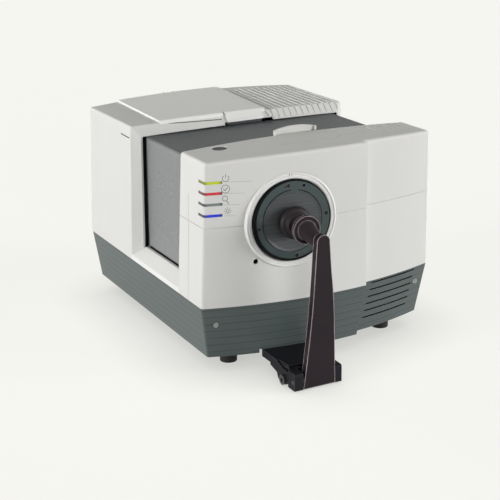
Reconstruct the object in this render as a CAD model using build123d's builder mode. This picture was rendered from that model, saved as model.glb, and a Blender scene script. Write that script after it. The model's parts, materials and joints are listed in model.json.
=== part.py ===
"""Benchtop sphere colorimeter: drafted housings, sliding compartment cover, rear lid and spring clamp.

Frame: millimetres, +Z up, +X to the right along the front, +Y to the back.
The origin is on the bench, at the centre of the whole footprint.
"""

import os
from math import cos, radians, sin, tan

from build123d import *

os.makedirs("parts", exist_ok=True)

# ---------------------------------------------------------------- overall sizes
width = 400.0                 # across the seam between base and housings
body_depth = 444.0            # front corners to the back, at the seam
clamp_reach = 112.0           # front face of the clamp arm ahead of the front corners
foot_height = 32.0            # bench to the underside of the tub floor
skirt_drop = 6.0              # the tub's skirt hangs this far below its floor
base_height = 81.3            # skirt edge to the seam
base_pull_in = 12.4           # how far each side leans in from the seam down to the skirt
front_pull_in = 10.3          # the same at the front corners
housing_draft = 0.0364        # lean of the white sides, per side
front_lean = 0.0386           # the white front leans forwards as it rises
rear_lean = 0.022             # the back leans in, away from the seam
seam_bow = 34.0               # bulge of the front at and below the seam
upper_bow = 27.0              # bulge of the front from the split line up
recess_depth = 11.4           # the right part of the front is set back by this
recess_x = 60.0
recess_drift = 10.0           # the set-back starts this much further left at the skirt
corner_radius = 5.0
tub_wall = 3.5
shell_wall = 3.0
gap = 0.3                     # clearance between pieces that move or seat loosely
running_fit = 0.05            # radial clearance of pins in their bores

standing = (Align.CENTER, Align.CENTER, Align.MIN)
hanging = (Align.CENTER, Align.CENTER, Align.MAX)

front_y = (clamp_reach - body_depth) / 2
rear_y = front_y + body_depth
skirt_z = foot_height - skirt_drop
seam_z = skirt_z + base_height

# ---------------------------------------------------------------- front housing
port_x = -67.0
port_z = seam_z + 121.7
split_z = port_z              # the two front covers meet on the level of the port
port_turn = 5.5               # the port faces square out of the bowed front, turned to the left
split_gap = 0.8               # shadow lines between the covers
split_depth = 1.2
front_edge_r = 5.0            # rounding of the upper cover's top
front_depth = 72.0            # front corners to the rear face of the front housing
front_seam = 45.0             # the lower cover wraps round the sides as far as this
front_side_top = seam_z + 216.2
front_crown = 6.0             # extra height at the middle of the top

# ---------------------------------------------------------------- rear housing
opening_front = 250.0         # front lip of the rear housing
visor_run = 12.0              # run of the bevelled frame round the opening
cover_inset = 29.3            # the cover stands this far inside the widest outline, per side
cover_half = width / 2 - cover_inset
cover_foot_half = cover_half + 3.0
lip_half = cover_half + 9.8
lip_flare = 3.5               # the lip opens by this much, per side, down to the seam
lip_top = seam_z + 203.2
lip_crown = 2.0
lip_wall = 1.5                # the roof thins to this over the compartment cover
rear_side_top = seam_z + 217.2
visor_crown = 1.0
rear_crown = 8.5
roof_edge_r = 4.0
frame_y = front_y + opening_front + visor_run

# ---------------------------------------------------------------- compartment cover and sills
cover_wall = 3.0
cover_top = seam_z + 201.1
cover_under = cover_top - cover_wall
cover_front = front_y + front_depth + 1.5
cover_length = 183.0
cover_travel = 160.0
cover_corner = 4.0
cover_bottom = seam_z + 1.6
sill_rise = 7.7
sill_lip_rise = 21.0
sill_bevel_half = cover_foot_half + 6.0
sill_inner_half = cover_foot_half + 1.7
grip_left = -37.0
grip_right = 34.0
grip_depth = 6.0
grip_wall = 2.5
grip_rise = 27.1              # above the cover, at its ends
grip_arch = 4.5               # extra height in the middle

# ---------------------------------------------------------------- inner frame
deck_thickness = 3.0
deck_top = seam_z - 2.0
floor_thickness = 3.0
floor_top = foot_height + floor_thickness
sheet = 2.0                   # sheet-metal thickness
wall_half = cover_half - 11.0
wall_top = cover_under - 2.0
rail_inner = wall_half + 1.5

# ---------------------------------------------------------------- sphere and port
sphere_y = front_y + 62.0
sphere_bore_r = 72.0
sphere_wall = 3.0
sphere_r = sphere_bore_r + sphere_wall
flange_width = 11.0
flange_thickness = 4.0
exit_port_r = 20.0
bezel_r = 71.0
bezel_bore_r = 61.0
ring_bore_r = 46.0
plate_r = 45.5
aperture_r = 12.7
nose_r = 19.0
bezel_front = front_y - 31.0
ring_front = front_y - 34.0
plate_front = front_y - 34.5
nose_front = front_y - 39.0
port_seat = front_y - 21.5    # ring, plate and bezel all seat on the sphere's port flange here
port_flange_back = front_y - 16.0
port_flange_r = 69.0
beam_x = port_x + (sphere_y - port_seat) * tan(radians(port_turn))   # centre of the sphere, and the beam
bulkhead_y = sphere_y + flange_thickness

# ---------------------------------------------------------------- clamp
clamp_face = front_y - clamp_reach
arm_thickness = 11.0
arm_top_z = port_z - 1.0
arm_foot_z = 1.5
arm_foot_left = -95.5
arm_foot_right = -43.0
pivot_z = 14.0
pivot_y = clamp_face + arm_thickness / 2
pivot_pin_r = 2.5
pad_r = 24.0
pad_front = nose_front - gap
pad_thickness = 15.0
pad_travel = 5.0
hub_r = 20.5
hub_thickness = 6.0
hub_front = front_y - 78.0    # face of the hub flange that looks at the pad
stem_r = 4.0
block_left = -110.0
block_right = -32.0
block_depth = 44.0
block_bottom = 2.0
cheek = 4.0
cheek_screw_y = front_y - 80.0
cheek_screw_z = 9.0
bracket_plate = 4.0
bracket_back = front_y + 60.0


def half_width(z):
    """Half of the width of the outside at height z."""
    if z < seam_z:
        return width / 2 - base_pull_in * (seam_z - z) / base_height
    return width / 2 - housing_draft * (z - seam_z)


def corner_y(z):
    """Where the front corners stand at height z."""
    if z < seam_z:
        return front_y + front_pull_in * (seam_z - z) / base_height
    return front_y - front_lean * (z - seam_z)


def back_y(z):
    """Where the back stands at height z."""
    return rear_y - rear_lean * abs(z - seam_z)


def bow(z):
    """Bulge of the front at height z."""
    if z <= seam_z:
        return seam_bow
    if z >= split_z:
        return upper_bow
    return seam_bow + (upper_bow - seam_bow) * (z - seam_z) / (split_z - seam_z)


def bowed_y(x, z, inset=0.0):
    """The front surface at x and z, without the set-back of the right part."""
    return corner_y(z) + inset - bow(z) * (1 - (x / (half_width(z) - inset)) ** 2)


def front_top(x):
    """Height of the front housing's crowned top at x."""
    return front_side_top + front_crown * (1 - (x / half_width(front_side_top)) ** 2)


def rear_top(x, y):
    """Height of the rear housing's crowned roof at x and y."""
    crown = visor_crown + (rear_crown - visor_crown) * (y - frame_y) / (rear_y - frame_y)
    return rear_side_top + crown * (1 - (x / half_width(rear_side_top)) ** 2)


def plan_outline(z, inset, back):
    """Plan of the outside at height z: bowed front, set-back right part, straight sides."""
    half = half_width(z) - inset
    step_x = recess_x - inset - recess_drift * max(seam_z - z, 0) / base_height
    start_y = corner_y(z) + inset
    middle_left = (step_x - half) / 2
    middle_right = (step_x + half) / 2
    step_y = bowed_y(step_x, z, inset)
    with BuildSketch() as outline:
        with BuildLine():
            Line((-half, back), (-half, start_y))
            ThreePointArc((-half, start_y), (middle_left, bowed_y(middle_left, z, inset)), (step_x, step_y))
            Line((step_x, step_y), (step_x, step_y + recess_depth))
            ThreePointArc(
                (step_x, step_y + recess_depth),
                (middle_right, bowed_y(middle_right, z, inset) + recess_depth),
                (half, start_y + recess_depth),
            )
            Line((half, start_y + recess_depth), (half, back))
            Line((half, back), (-half, back))
        make_face()
    return outline.sketch


def drafted_block(bottom, top, inset=0.0, back=None, lean=0.0):
    """Solid between two heights whose outside follows the housing, inset all round."""
    radius = max(corner_radius - inset, 1.5)
    with BuildPart() as block:
        for z in (bottom, top):
            with BuildSketch(Plane.XY.offset(z)) as outline:
                stop = back_y(z) - inset if back is None else back + lean * (front_side_top - z)
                add(plan_outline(z, inset, stop))
                sides = outline.vertices().group_by(Axis.X)
                rounded = [sides[0].sort_by(Axis.Y)[0], sides[-1].sort_by(Axis.Y)[0]]
                if back is None:
                    rounded += [sides[0].sort_by(Axis.Y)[-1], sides[-1].sort_by(Axis.Y)[-1]]
                fillet(rounded, radius)
        loft(ruled=True)
    return block.part


def lean_plane(ahead):
    """Leaning plane of the front housing's rear edge, moved back by a distance."""
    return Plane(origin=(0, front_y + front_depth + ahead, front_side_top), z_dir=(0, 1, front_lean))


def crown_section(half_low, half_high, low_z, side_z, crown, shoulder=0.0):
    """Section across the width: straight sides up to a crowned top, with rounded shoulders."""
    with BuildSketch() as section:
        with BuildLine():
            Line((-half_low, low_z), (half_low, low_z))
            Line((half_low, low_z), (half_high, side_z))
            ThreePointArc((half_high, side_z), (0, side_z + crown), (-half_high, side_z))
            Line((-half_high, side_z), (-half_low, low_z))
        make_face()
        if shoulder:
            fillet(section.vertices().group_by(Axis.Y)[-1], shoulder)
    return section.sketch


def front_form(inset, back):
    """Solid form of the upper front cover: drafted all round, under a crowned top."""
    with BuildPart() as form:
        add(drafted_block(split_z, front_side_top + front_crown + 5, inset, back, front_lean))
        with BuildSketch(Plane.XZ.offset(-(back + 20))):
            reach = width / 2 + 10
            drop = front_crown * ((reach / half_width(front_side_top)) ** 2 - 1)
            side_z = front_side_top - drop - inset
            add(crown_section(reach, reach, split_z, side_z, front_crown + drop))
        extrude(amount=back - front_y + 80, mode=Mode.INTERSECT)
    return form.part


def rear_form(inset=0.0, low_z=seam_z):
    """Solid form of the rear housing, inset all round; its front bevel frames the opening."""
    half_low = half_width(low_z) - inset
    half_high = half_width(rear_side_top) - inset
    side_z = rear_side_top - inset
    shoulder = max(roof_edge_r - inset, 1.0)
    lip = lip_half - inset
    with BuildPart() as form:
        with BuildSketch(Plane.XZ.offset(-(frame_y - visor_run))):
            lip_z = lip_top - min(inset, lip_wall)
            add(crown_section(lip + lip_flare, lip, low_z, lip_z, lip_crown, shoulder))
        with BuildSketch(Plane.XZ.offset(-frame_y)):
            add(crown_section(half_low, half_high, low_z, side_z, visor_crown, shoulder))
        loft(ruled=True)
        with BuildSketch(Plane.XZ.offset(-frame_y)):
            add(crown_section(half_low, half_high, low_z, side_z, visor_crown, shoulder))
        with BuildSketch(Plane.XZ.offset(-rear_y)):
            add(crown_section(half_low, half_high, low_z, side_z, rear_crown, shoulder))
        loft(ruled=True)
        back_plane = Plane(origin=(0, rear_y - inset, seam_z), z_dir=(0, 1, rear_lean))
        split(bisect_by=back_plane, keep=Keep.BOTTOM)
    return form.part


def disc(axis_x, axis_z, radius, start_y, end_y, bore=0.0):
    """Disc or tube about an axis along Y, between two stations."""
    with BuildPart() as made:
        with BuildSketch(Plane.XZ.offset(-end_y)):
            with Locations((axis_x, axis_z)):
                Circle(radius)
                if bore:
                    Circle(bore, mode=Mode.SUBTRACT)
        extrude(amount=end_y - start_y)
    return made.part


def turned(points, axis):
    """Solid of revolution: a closed outline of (radius, station) points about an axis along Y."""
    with BuildPart() as made:
        with BuildSketch(Plane(origin=axis, x_dir=(1, 0, 0), z_dir=(0, 0, 1))):
            with BuildLine():
                Polyline(*points, close=True)
            make_face()
        revolve(axis=Axis(axis, (0, 1, 0)))
    return made.part


def faced(made):
    """Shape made about the straight axis of the port, turned to where the port faces."""
    return made.rotate(Axis((port_x, port_seat, 0), (0, 0, 1)), -port_turn)


def coil_spring(origin, axis_dir, length, inner_r, outer_r, coils):
    """Closed-coil spring as one turned solid with a scalloped outside."""
    pitch = length / coils
    x_dir = (1, 0, 0) if axis_dir[0] == 0 else (0, 1, 0)
    plane = Plane(origin=origin, x_dir=x_dir, z_dir=Vector(*x_dir).cross(Vector(*axis_dir)))
    with BuildPart() as made:
        with BuildSketch(plane):
            with BuildLine():
                points = [(inner_r, 0)]
                for turn in range(coils):
                    points.append((outer_r - pitch / 3, turn * pitch))
                    points.append((outer_r, (turn + 0.5) * pitch))
                points.append((outer_r - pitch / 3, length))
                points.append((inner_r, length))
                Polyline(*points, close=True)
            make_face()
        revolve(axis=Axis(origin, axis_dir))
    return made.part



# ================================================================ base
# Tub: drafted, open-topped tray. The skirt hangs below the floor, and the grille
# slots follow the set-back right part of the front.
grille_slots = 6
grille_pitch = 11.4
grille_top = seam_z - 3.8
grille_length = 93.0
grille_height = 2.7
grille_x = width / 2 - 75.0
grille_drift = 2.2
notch_left = block_left - 3.0
notch_right = block_right + 3.0
pillar_r = 6.0
pillar_x = width / 2 - 32.0
pillar_spots = [
    (side * pillar_x, y)
    for side in (-1, 1)
    for y in (front_y + 40, front_y + 215, rear_y - 35)
]
foot_r = 13.0
foot_x = width / 2 - 62.5
foot_spots = [
    (-foot_x, front_y + 43), (foot_x, front_y + 47),
    (-foot_x, rear_y - 45), (foot_x, rear_y - 45),
]
foot_recess_r = 6.0
foot_recess = 8.0
screw_r = 2.0
base_screw_spots = [(20.8 - width / 2, 79.8), (width / 2 - 23.9, 81.6)]
base_screw_head_r = 3.6
inlet_x = width / 2 - 70.0
inlet_size = (27.0, 20.0)
switch_x = inlet_x - 38.0
switch_size = (13.0, 20.0)
fuse_x = inlet_x - 64.0
fuse_r = 6.4
data_x = 30.0
data_size = (12.4, 11.2)
fan_x = 80.0 - width / 2
fan_bore_r = 26.0
fan_screw_pitch = 50.0
service_z = (floor_top + seam_z) / 2

with BuildPart() as base_tub:
    add(drafted_block(skirt_z, seam_z))
    add(drafted_block(floor_top, seam_z, tub_wall), mode=Mode.SUBTRACT)
    add(drafted_block(skirt_z, foot_height, tub_wall), mode=Mode.SUBTRACT)
    with BuildSketch(Plane.XY.offset(floor_top)):
        with Locations(*pillar_spots):
            Circle(pillar_r)
    extrude(amount=deck_top - deck_thickness - floor_top)
    with BuildSketch(Plane.XZ.offset(-(front_y + 15))):
        for row in range(grille_slots):
            with Locations((grille_x - grille_drift * row, grille_top - grille_pitch * row)):
                SlotOverall(grille_length, grille_height)
    extrude(amount=50, mode=Mode.SUBTRACT)
    with BuildSketch(Plane.XZ.offset(-(front_y + 5))):
        with Locations(((notch_left + notch_right) / 2, skirt_z)):
            Rectangle(notch_right - notch_left, 2 * skirt_drop)
    extrude(amount=60, mode=Mode.SUBTRACT)
    with BuildSketch(Plane.XY.offset(foot_height)):
        with Locations(*foot_spots):
            Circle(screw_r)
        with Locations(*[(x, y) for x in (port_x - 25, port_x + 25) for y in (front_y + 12, front_y + 46)]):
            Circle(screw_r)
    extrude(amount=floor_thickness, mode=Mode.SUBTRACT)
    with BuildSketch(Plane.XZ.offset(-(rear_y + 5))):
        with Locations((inlet_x, service_z)):
            Rectangle(*inlet_size)
        with Locations((switch_x, service_z)):
            Rectangle(*switch_size)
        with Locations((fuse_x, service_z)):
            Circle(fuse_r)
        with Locations((data_x, service_z)):
            Rectangle(*data_size)
        with Locations((fan_x, service_z)):
            Circle(fan_bore_r)
            with GridLocations(fan_screw_pitch, fan_screw_pitch, 2, 2):
                Circle(screw_r)
    extrude(amount=25, mode=Mode.SUBTRACT)
    for x, z in base_screw_spots:
        add(disc(x, z, base_screw_head_r + gap, bowed_y(x, z) - 10, bowed_y(x, z) + 25), mode=Mode.SUBTRACT)
base_tub.part.label = "base_tub"
export_step(base_tub.part, "parts/base_tub.step")

with BuildPart() as base_feet:
    with Locations(*[(x, y, 0) for x, y in foot_spots]):
        Cone(foot_r, foot_r + 1.5, foot_height, align=standing)
        Cylinder(foot_recess_r, foot_recess, align=standing, mode=Mode.SUBTRACT)
        Cylinder(screw_r, foot_height, align=standing, mode=Mode.SUBTRACT)
base_feet.part.label = "base_feet"
export_step(base_feet.part, "parts/base_feet.step")

with BuildPart() as base_screws:
    with Locations(*[(x, y, foot_recess) for x, y in foot_spots]):
        Cylinder(2.2 * screw_r, 3.0, align=hanging)
        Cylinder(screw_r, floor_top + 4 - foot_recess, align=standing)
    with Locations(*[(x, y, floor_top) for x, y in foot_spots]):
        Cylinder(2 * screw_r, 3.2, align=standing)
    for x, z in base_screw_spots:
        face_y = bowed_y(x, z) + (recess_depth if x > recess_x else 0)
        add(disc(x, z, base_screw_head_r, face_y - 1.2, face_y + tub_wall + 1))
base_screws.part.label = "base_screws"
export_step(base_screws.part, "parts/base_screws.step")

# Deck: a sheet plate on the tub's pillars that carries the optics and both housings' frames.
deck_window = (110.0, 60.0)
with BuildPart() as deck_plate:
    with BuildSketch(Plane.XY.offset(deck_top - deck_thickness)) as deck_outline:
        add(plan_outline(deck_top - deck_thickness, tub_wall + gap, rear_y - tub_wall - 2 * gap))
        deck_sides = deck_outline.vertices().group_by(Axis.X)
        fillet(deck_sides[0] + deck_sides[-1], corner_radius)
        with Locations((0, rear_y - 60), (port_x, front_y + 110)):
            SlotOverall(*deck_window, mode=Mode.SUBTRACT)
    extrude(amount=deck_thickness)
deck_plate.part.label = "deck_plate"
export_step(deck_plate.part, "parts/deck_plate.step")

# ================================================================ front housing
housing_back = front_y + front_depth
socket_x = -121.7
socket_z = seam_z + 65.4
socket_r = 4.0


def band(low, high, back):
    """Band of the housing's skin between two heights, cut away for a shadow line."""
    with BuildPart() as skin:
        add(drafted_block(low, high, -1.0, back))
        add(drafted_block(low, high, split_depth, back), mode=Mode.SUBTRACT)
    return skin.part


def seam_groove(low, high):
    """Upright shadow line down both sides, just behind the lower cover's rear edge."""
    with BuildPart() as groove:
        add(drafted_block(low, high, -1.0, housing_back))
        add(drafted_block(low, high, split_depth, housing_back), mode=Mode.SUBTRACT)
        with BuildSketch(Plane.XY.offset(low)):
            with Locations((0, front_y + front_seam)):
                Rectangle(2 * width, split_gap, align=(Align.CENTER, Align.MIN))
        extrude(amount=high - low, mode=Mode.INTERSECT)
    return groove.part


with BuildPart() as front_cover_lower:
    add(drafted_block(seam_z, split_z, 0, front_y + front_seam))
    add(drafted_block(seam_z, split_z, shell_wall, front_y + front_seam), mode=Mode.SUBTRACT)
    add(band(split_z - split_gap, split_z, front_y + front_seam), mode=Mode.SUBTRACT)
    add(faced(disc(port_x, port_z, bezel_r + gap, front_y - 60, front_y + 20)), mode=Mode.SUBTRACT)
    add(disc(socket_x, socket_z, socket_r, front_y - 60, front_y + 20), mode=Mode.SUBTRACT)
front_cover_lower.part.label = "front_cover_lower"
export_step(front_cover_lower.part, "parts/front_cover_lower.step")

# Upper cover: carries the button well at the left and the indicator slots at the left corner.
button_x = 60.4 - width / 2
button_y = front_y + 52.4
button_r = 9.5
collar_r = 11.0
collar_bore = button_r + gap
indicator_slots = [("indicator_yellow", 187.7), ("indicator_red", 172.0),
                   ("indicator_clear", 156.0), ("indicator_blue", 139.7)]
indicator_height = 4.0
indicator_right = 31.0 - width / 2
indicator_back = front_y + 12.0
indicator_depth = 5.0


def indicator_form(rise, grow):
    """Light pipe that wraps round the front left corner, grown by a clearance."""
    low = seam_z + rise - indicator_height / 2
    with BuildPart() as form:
        add(drafted_block(low, low + indicator_height, -0.2, housing_back))
        add(drafted_block(low, low + indicator_height, indicator_depth, housing_back), mode=Mode.SUBTRACT)
        with BuildSketch(Plane.XY.offset(low)):
            with Locations((indicator_right + grow, indicator_back + grow)):
                Rectangle(width / 2, front_depth + 2 * upper_bow, align=(Align.MAX, Align.MAX))
        extrude(amount=indicator_height, mode=Mode.INTERSECT)
    return form.part


seam_end = split_z + 40.0     # the side seam runs out in the upper cover at this height
vent_ribs = 12                # grooves along the right part of both tops
vent_left = 56.6
vent_right = half_width(rear_side_top) - 11.6
vent_pitch = (vent_right - vent_left) / (vent_ribs - 1)
vent_width = 1.8
shallow_vent = 0.7            # depth of the grooves on the front cover
with BuildPart() as front_cover_upper:
    add(front_form(0, housing_back))
    top_edges = front_cover_upper.faces().sort_by(Axis.Z)[-1].edges()
    fillet(top_edges.filter_by(lambda edge: edge.center().Y < housing_back - 1), front_edge_r)
    add(front_form(shell_wall, housing_back - shell_wall), mode=Mode.SUBTRACT)
    with BuildSketch(Plane.XZ.offset(-(housing_back + 10))):
        with Locations((0, split_z)):
            Rectangle(2 * wall_half, 2 * (wall_top - split_z))
    extrude(amount=shell_wall + 14, mode=Mode.SUBTRACT)
    add(faced(disc(port_x, port_z, bezel_r + gap, front_y - 60, front_y + 20)), mode=Mode.SUBTRACT)
    add(seam_groove(split_z, seam_end), mode=Mode.SUBTRACT)
    for rib in range(vent_ribs):
        with BuildSketch(Plane.YZ.offset(vent_left + vent_pitch * rib - vent_width / 2)):
            with BuildLine():
                groove_x = vent_left + vent_pitch * rib
                Polyline(
                    (front_y + 22, front_top(groove_x) + 5),
                    (front_y + 22, front_top(groove_x)),
                    (front_y + 26, front_top(groove_x) - shallow_vent),
                    (housing_back + 1, front_top(groove_x) - shallow_vent),
                    (housing_back + 1, front_top(groove_x) + 5),
                    close=True,
                )
            make_face()
        extrude(amount=vent_width, mode=Mode.SUBTRACT)
    with Locations((button_x, button_y, front_side_top)):
        Cylinder(collar_r + gap, 40, mode=Mode.SUBTRACT)
    for name, rise in indicator_slots:
        add(indicator_form(rise, gap), mode=Mode.SUBTRACT)
front_cover_upper.part.label = "front_cover_upper"
export_step(front_cover_upper.part, "parts/front_cover_upper.step")

for name, rise in indicator_slots:
    with BuildPart() as indicator:
        add(indicator_form(rise, 0))
    indicator.part.label = name
    export_step(indicator.part, f"parts/{name}.step")

# Read button: cap in a flanged collar, on a return spring, above a micro-switch on a bracket.
button_top = front_top(button_x) - 1.0
button_cap = 4.0
collar_floor = button_top - button_cap - 7.0
stem_guide_r = 3.0
with BuildPart() as button_collar:
    with BuildSketch(Plane.XY.offset(collar_floor)):
        with Locations((button_x, button_y)):
            Circle(collar_r)
    extrude(amount=front_top(button_x) - 0.5 - collar_floor)
    with BuildSketch(Plane.XY.offset(button_top - button_cap - 2.0)):
        with Locations((button_x, button_y)):
            Circle(collar_r + 3.0)
    extrude(amount=2.0)
    with BuildSketch(Plane.XY.offset(collar_floor + 1.5)):
        with Locations((button_x, button_y)):
            Circle(collar_bore)
    extrude(amount=40, mode=Mode.SUBTRACT)
    with Locations((button_x, button_y, collar_floor)):
        Cylinder(stem_guide_r + 0.1, 10, mode=Mode.SUBTRACT)
button_collar.part.label = "button_collar"
export_step(button_collar.part, "parts/button_collar.step")

with BuildPart() as read_button:
    with Locations((button_x, button_y, button_top)):
        Cylinder(button_r, button_cap, align=hanging)
    fillet(read_button.faces().sort_by(Axis.Z)[-1].edges(), 0.8)
    with Locations((button_x, button_y, button_top - button_cap)):
        Cylinder(stem_guide_r, 9.5, align=hanging)
read_button.part.label = "read_button"
export_step(read_button.part, "parts/read_button.step")

spring_length = button_top - button_cap - (collar_floor + 1.5)
with BuildPart() as button_spring:
    add(coil_spring((button_x, button_y, collar_floor + 1.5), (0, 0, 1), spring_length, 4.6, 6.0, 4))
button_spring.part.label = "button_spring"
export_step(button_spring.part, "parts/button_spring.step")

switch_top = collar_floor - 5.0
with BuildPart() as button_switch:
    with Locations((button_x, button_y, switch_top)):
        Box(14, 8, 9, align=hanging)
    with Locations((button_x, button_y, switch_top - 9)):
        Box(14, bulkhead_y - button_y, 2, align=(Align.CENTER, Align.MIN, Align.MAX))
        Box(14, 8, 2, align=hanging)
    with Locations((button_x, bulkhead_y, switch_top - 9)):
        Box(14, 2, 14, align=(Align.CENTER, Align.MAX, Align.MAX))
button_switch.part.label = "button_switch"
export_step(button_switch.part, "parts/button_switch.step")

# ================================================================ sphere and port
port_axis = (port_x, 0, port_z)
with BuildPart() as sphere_front:
    add(disc(beam_x, port_z, sphere_r + flange_width, sphere_y - flange_thickness, sphere_y))
    with Locations((beam_x, sphere_y, port_z)):
        Sphere(sphere_r)
    add(faced(disc(port_x, port_z, 40, port_flange_back, front_y + 5)))
    add(faced(disc(port_x, port_z, port_flange_r, port_seat, port_flange_back)))
    with Locations((beam_x, sphere_y, port_z)):
        Sphere(sphere_bore_r, mode=Mode.SUBTRACT)
    add(disc(beam_x, port_z, 2 * sphere_r, sphere_y, rear_y), mode=Mode.SUBTRACT)
    add(faced(disc(port_x, port_z, aperture_r, front_y - 60, front_y + 20)), mode=Mode.SUBTRACT)
sphere_front.part.label = "sphere_front"
export_step(sphere_front.part, "parts/sphere_front.step")

sphere_wall_y = front_y + 142.0
with BuildPart() as sphere_rear:
    add(disc(beam_x, port_z, sphere_r + flange_width, sphere_y, sphere_y + flange_thickness))
    with Locations((beam_x, sphere_y, port_z)):
        Sphere(sphere_r)
    add(disc(beam_x, port_z, exit_port_r + 4, sphere_y + 60, sphere_wall_y))
    with Locations((beam_x, sphere_y, port_z)):
        Sphere(sphere_bore_r, mode=Mode.SUBTRACT)
    add(disc(beam_x, port_z, 200, front_y - 100, sphere_y), mode=Mode.SUBTRACT)
    add(disc(beam_x, port_z, exit_port_r, sphere_y, sphere_wall_y + 5), mode=Mode.SUBTRACT)
sphere_rear.part.label = "sphere_rear"
export_step(sphere_rear.part, "parts/sphere_rear.step")

with BuildPart() as sphere_screws:
    with BuildSketch(Plane.XZ.offset(-(sphere_y - flange_thickness))):
        with Locations((beam_x, port_z)):
            with PolarLocations(sphere_r + flange_width / 2, 6, start_angle=15):
                RegularPolygon(4.0, 6)
    extrude(amount=3.0)
sphere_screws.part.label = "sphere_screws"
export_step(sphere_screws.part, "parts/sphere_screws.step")

bezel_lip_r = port_flange_r + gap
with BuildPart() as port_bezel:
    add(faced(turned([
        (bezel_bore_r, bezel_front + 1.5), (bezel_bore_r + 1.5, bezel_front), (bezel_r - 5.2, bezel_front),
        (bezel_r - 4.6, bezel_front + 0.9), (bezel_r - 3.8, bezel_front + 0.9), (bezel_r - 3.2, bezel_front),
        (bezel_r - 1.6, bezel_front), (bezel_r, bezel_front + 1.6), (bezel_r, port_flange_back),
        (bezel_lip_r, port_flange_back), (bezel_lip_r, port_seat), (bezel_bore_r, port_seat),
    ], port_axis)))
port_bezel.part.label = "port_bezel"
export_step(port_bezel.part, "parts/port_bezel.step")

# The ring holds the plate with four sunk screws; a key and a tab set the plate's turn.
ring_r = bezel_bore_r - 1.4
ring_screw_r = 53.0
ring_screws_at = (6.0, 97.0, 187.0, 277.0)
ring_holes = [(-8.9, 52.0), (18.0, 50.6)]
ring_face = Plane(origin=(port_x, ring_front, port_z), x_dir=(1, 0, 0), z_dir=(0, -1, 0))
key_angle = 85.0
tab_angle = 174.0
with BuildPart() as straight_port_ring:
    add(turned([
        (ring_bore_r, ring_front + 1.0), (ring_bore_r + 1.0, ring_front), (ring_r - 1.4, ring_front),
        (ring_r, ring_front + 1.4), (ring_r, port_seat), (ring_bore_r, port_seat),
    ], port_axis))
    with BuildSketch(ring_face):
        with PolarLocations(plate_r - 1.0, 1, start_angle=key_angle):
            Circle(5.0)
        with PolarLocations(plate_r + 0.5, 1, start_angle=tab_angle):
            Circle(5.0 + gap, mode=Mode.SUBTRACT)
    extrude(amount=port_seat - ring_front, dir=(0, 1, 0))
    with BuildSketch(ring_face):
        with PolarLocations(plate_r + 0.5, 1, start_angle=tab_angle):
            Circle(5.0 + gap)
        for angle in ring_screws_at:
            with PolarLocations(ring_screw_r, 1, start_angle=angle):
                Circle(3.2)
        with Locations(*ring_holes):
            Circle(2.3)
    extrude(amount=port_seat - ring_front - 1, dir=(0, 1, 0), mode=Mode.SUBTRACT)
with BuildPart() as port_ring:
    add(faced(straight_port_ring.part))
port_ring.part.label = "port_ring"
export_step(port_ring.part, "parts/port_ring.step")

with BuildPart() as straight_ring_screws:
    with BuildSketch(ring_face):
        for angle in ring_screws_at:
            with PolarLocations(ring_screw_r, 1, start_angle=angle):
                Circle(3.0)
                RegularPolygon(1.4, 6, mode=Mode.SUBTRACT)
    extrude(amount=port_seat - ring_front - 1, dir=(0, 1, 0))
    add(disc(port_x, port_z, ring_r, ring_front - 1, ring_front + 2.0), mode=Mode.SUBTRACT)
    with BuildSketch(ring_face.offset(-3.6)):
        for angle in ring_screws_at:
            with PolarLocations(ring_screw_r, 1, start_angle=angle):
                Circle(2.4)
    extrude(amount=port_seat - ring_front - 4.6, dir=(0, 1, 0))
with BuildPart() as ring_screws:
    add(faced(straight_ring_screws.part))
ring_screws.part.label = "ring_screws"
export_step(ring_screws.part, "parts/ring_screws.step")

with BuildPart() as straight_port_plate:
    add(turned([
        (aperture_r, nose_front), (aperture_r + 2.0, nose_front), (nose_r, plate_front + 1.5),
        (plate_r - 4.0, plate_front + 0.8), (plate_r, plate_front), (plate_r, port_seat),
        (aperture_r, port_seat),
    ], port_axis))
    with BuildSketch(ring_face):
        with PolarLocations(plate_r - 1.0, 1, start_angle=key_angle):
            Circle(5.0 + gap)
    extrude(amount=port_seat - ring_front + 2, dir=(0, 1, 0), both=True, mode=Mode.SUBTRACT)
    with BuildSketch(ring_face):
        with PolarLocations(plate_r + 0.5, 1, start_angle=tab_angle):
            Circle(5.0)
    extrude(amount=port_seat - ring_front - 1.5, dir=(0, 1, 0))
with BuildPart() as port_plate:
    add(faced(straight_port_plate.part))
port_plate.part.label = "port_plate"
export_step(port_plate.part, "parts/port_plate.step")

# ================================================================ frame round the compartment
# Posts close the housing behind the lower cover; sills run back along the tub's rim.
with BuildPart() as side_posts:
    add(drafted_block(seam_z, split_z, 0, housing_back, front_lean))
    add(drafted_block(seam_z, split_z, shell_wall, housing_back - shell_wall, front_lean), mode=Mode.SUBTRACT)
    with BuildSketch(Plane.XY.offset(seam_z)):
        for side in (-1, 1):
            with Locations((side * (rail_inner + width / 4), front_y + front_seam)):
                Rectangle(width / 2, front_depth, align=(Align.CENTER, Align.MIN))
    extrude(amount=split_z - seam_z, mode=Mode.INTERSECT)
    add(band(split_z - split_gap, split_z, housing_back + 10), mode=Mode.SUBTRACT)
    add(seam_groove(seam_z, split_z), mode=Mode.SUBTRACT)
side_posts.part.label = "side_posts"
export_step(side_posts.part, "parts/side_posts.step")

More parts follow.
